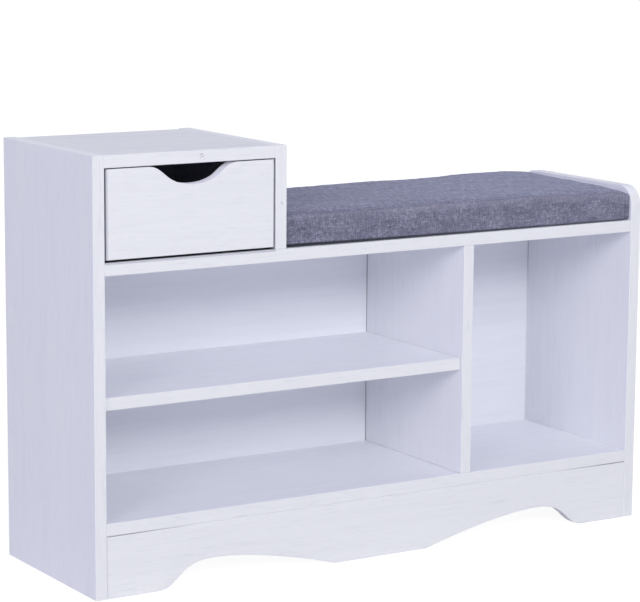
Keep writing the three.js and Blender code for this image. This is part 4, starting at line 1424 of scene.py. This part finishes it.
# %% Zip slider
SLIDER_SIZE, SLIDER_ROUNDING = Vector((0.0088, 0.0022, 0.0070)), 0.0007
SLIDER_PLACE, SLIDER_PROUD = 0.012, 0.0015  # from the zip's end, and out from the cover
SLIDER_NOSE = 0.72  # the height of its nose, as a share of its tail
BRIDGE_SIZE, BRIDGE_ROUNDING = Vector((0.0056, 0.0014, 0.0020)), 0.0005
BRIDGE_RISE, TAB_RISE = Vector((0, 0.0016, 0)), Vector((0, 0.0029, -0.0004))
STOP_SIZE, STOP_ROUNDING = Vector((0.0022, 0.0014, 0.0046)), 0.0004
STOP_INSET, STOP_PROUD = 0.0025, 0.0008


def crisp(mesh):
    """Smooth faces that keep their sharp edges."""
    mesh.shade_smooth()
    mesh.set_sharp_from_angle(angle=math.radians(35))


def built(bm, name):
    """A mesh of this name from one that was being built."""
    mesh = bpy.data.meshes.new(name)
    bm.to_mesh(mesh)
    bm.free()
    return mesh


def slider():
    bm = bmesh.new()
    home = behind(zip_low.x + SLIDER_PLACE, zip_middle.z, SLIDER_PROUD)
    soft_block(bm, home, SLIDER_SIZE, SLIDER_ROUNDING)
    for vert in bm.verts:  # the nose is narrower than the tail
        if vert.co.x > home.x + SLIDER_SIZE.x / 4:
            vert.co.z = home.z + (vert.co.z - home.z) * SLIDER_NOSE
    soft_block(bm, home + BRIDGE_RISE, BRIDGE_SIZE, BRIDGE_ROUNDING)
    for x in (zip_low.x + STOP_INSET, zip_high.x - STOP_INSET):
        soft_block(bm, behind(x, zip_middle.z, STOP_PROUD), STOP_SIZE, STOP_ROUNDING)
    bm.from_mesh(pull_tab(home + TAB_RISE))
    bmesh.ops.remove_doubles(bm, verts=bm.verts, dist=0.00001)
    bmesh.ops.recalc_face_normals(bm, faces=bm.faces)
    piece = new_piece("zip_slider", built(bm, "zip_slider"), zinc)
    crisp(piece.data)
    return piece


zip_slider = slider()
print("slider:", len(zip_slider.data.polygons), "faces")

# %% [markdown]
# The cushion, its filling, the zip and its stitches lift off the seat together. They stand for the
# CAD cover, foam and zip.

# %% Cushion into the frame
ZIP_PIECES = [zip_tape_piece, teeth, zip_slider, *stitch_rows]
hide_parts("cushion_cover")
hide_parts("cushion_foam")
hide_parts("cushion_zip")
for piece, slot in [(cushion, "linen"), (filling, "foam")] + [(piece, "zip_tape") for piece in ZIP_PIECES]:
    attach(piece, "cushion")
print("cushion rides on its own body, with", len(ZIP_PIECES), "zip pieces")

# %% [markdown]
# ## Runner screws
# Each runner is held to its board by three pan-head screws with a cross recess. The head is made
# once: half a squashed sphere, with a cross cut out of it. A second tree sets a copy on every
# screw point, turns it to face out of its board, and spins each by a different angle, as hand-driven
# screws are.

# %% Screw head
HEAD_RADIUS, HEAD_RISE = 0.0034, 0.0010
HEAD_SIDES, HEAD_RINGS = 24, 12
CROSS_LENGTH, CROSS_WIDTH, CROSS_DEPTH = 0.0040, 0.0008, 0.0007


def cross_bar(wide, tall):
    """One bar of the cross, as a block to cut with."""
    bm = bmesh.new()
    place = Matrix.Translation((HEAD_RISE, 0, 0)) @ Matrix.Diagonal((CROSS_DEPTH * 2, wide, tall, 1.0))
    bmesh.ops.create_cube(bm, size=1.0, matrix=place)
    return new_piece("cross_cutter", built(bm, "cross_cutter"))


def screw_head():
    """A domed head that faces +X, with a cross recess."""
    bm = bmesh.new()
    bmesh.ops.create_uvsphere(bm, u_segments=HEAD_SIDES, v_segments=HEAD_RINGS, radius=1.0)
    bmesh.ops.rotate(bm, matrix=Matrix.Rotation(math.radians(90), 3, "Y"), verts=bm.verts)
    cut = bmesh.ops.bisect_plane(bm, geom=bm.verts[:] + bm.edges[:] + bm.faces[:],
                                 plane_co=(0, 0, 0), plane_no=(1, 0, 0), clear_inner=True)
    bmesh.ops.holes_fill(bm, edges=[e for e in cut["geom_cut"] if isinstance(e, bmesh.types.BMEdge)])
    bmesh.ops.scale(bm, vec=(HEAD_RISE, HEAD_RADIUS, HEAD_RADIUS), verts=bm.verts)
    bmesh.ops.recalc_face_normals(bm, faces=bm.faces)
    head = new_piece("screw_head", built(bm, "screw_head"))
    for wide, tall in ((CROSS_LENGTH, CROSS_WIDTH), (CROSS_WIDTH, CROSS_LENGTH)):
        cutter = cross_bar(wide, tall)
        boolean = head.modifiers.new("cross", "BOOLEAN")
        boolean.object, boolean.operation, boolean.solver = cutter, "DIFFERENCE", "EXACT"
        applied(head)
        bpy.data.objects.remove(cutter)
    return head


head = screw_head()
print("screw head:", len(head.data.polygons), "faces")

# %% Heads on points
def heads_on_points():
    """A screw head on every point, turned by the point's own angle and spun by a random one."""
    tree, given, result = geometry_tree("heads_on_points", [
        ("Head", "Object"), ("Seed", "Int"), ("Finish", "Material")])
    shape = add_node(tree, "GeometryNodeObjectInfo", {"Object": given["Head"]}).outputs["Geometry"]
    points = add_node(tree, "GeometryNodeMeshToPoints", {"Mesh": given["Mesh"]}).outputs[0]
    facing = add_node(tree, "GeometryNodeInputNamedAttribute", {
        "Name": "facing"}, data_type="FLOAT").outputs[0]
    turn = add_node(tree, "ShaderNodeCombineXYZ", {
        "X": random_float(tree, 0.0, math.pi, given["Seed"]), "Z": facing}).outputs[0]
    heads = add_node(tree, "GeometryNodeInstanceOnPoints", {
        "Points": points, "Instance": shape, "Rotation": turn}).outputs[0]
    finished(tree, heads, given["Finish"], result)
    return tree


heads_tree = heads_on_points()
print("screw heads:", len(heads_tree.nodes), "nodes")

# %% Runner screws
RUNNER_WEB = 0.0012  # thickness of the runners' sheet
DRAWER_WEB = 0.0088  # from a drawer runner's outer edge to the outer face of its web
SCREW_SHARES = (0.24, 0.52, 0.80)  # places along a runner
SCREW_SETS = [  # name, body, seed, and for each runner its node, near edge, inset and facing angle
    ("cabinet_runner_screws", "carcass", 5, [
        ("cabinet_runner_left", "low", RUNNER_WEB, 0.0),
        ("cabinet_runner_right", "high", RUNNER_WEB, math.pi)]),
    ("drawer_runner_screws", "drawer", 6, [
        ("drawer_runner_left", "low", DRAWER_WEB, math.pi),
        ("drawer_runner_right", "high", DRAWER_WEB, 0.0)])]


def screw_points(name, webs):
    """Points on both runners of a pair, with the angle that turns a head to face out of its web."""
    places, facing = [], []
    for (node, edge, inset, angle), share in itertools.product(webs, SCREW_SHARES):
        low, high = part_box(node)
        x = low.x + inset if edge == "low" else high.x - inset
        places.append((x, low.y + (high.y - low.y) * share, (low.z + high.z) / 2))
        facing.append(angle)
    mesh = bpy.data.meshes.new(name)
    mesh.from_pydata(places, [], [])
    store(mesh, "facing", "FLOAT", "POINT", facing)
    return new_piece(name, mesh)


for name, body, seed, webs in SCREW_SETS:
    piece = run_tree(heads_tree, screw_points(name, webs), {"Head": head, "Seed": seed, "Finish": zinc})
    crisp(piece.data)
    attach(piece, body)
    print(name, len(piece.data.polygons), "faces")
bpy.data.objects.remove(head)
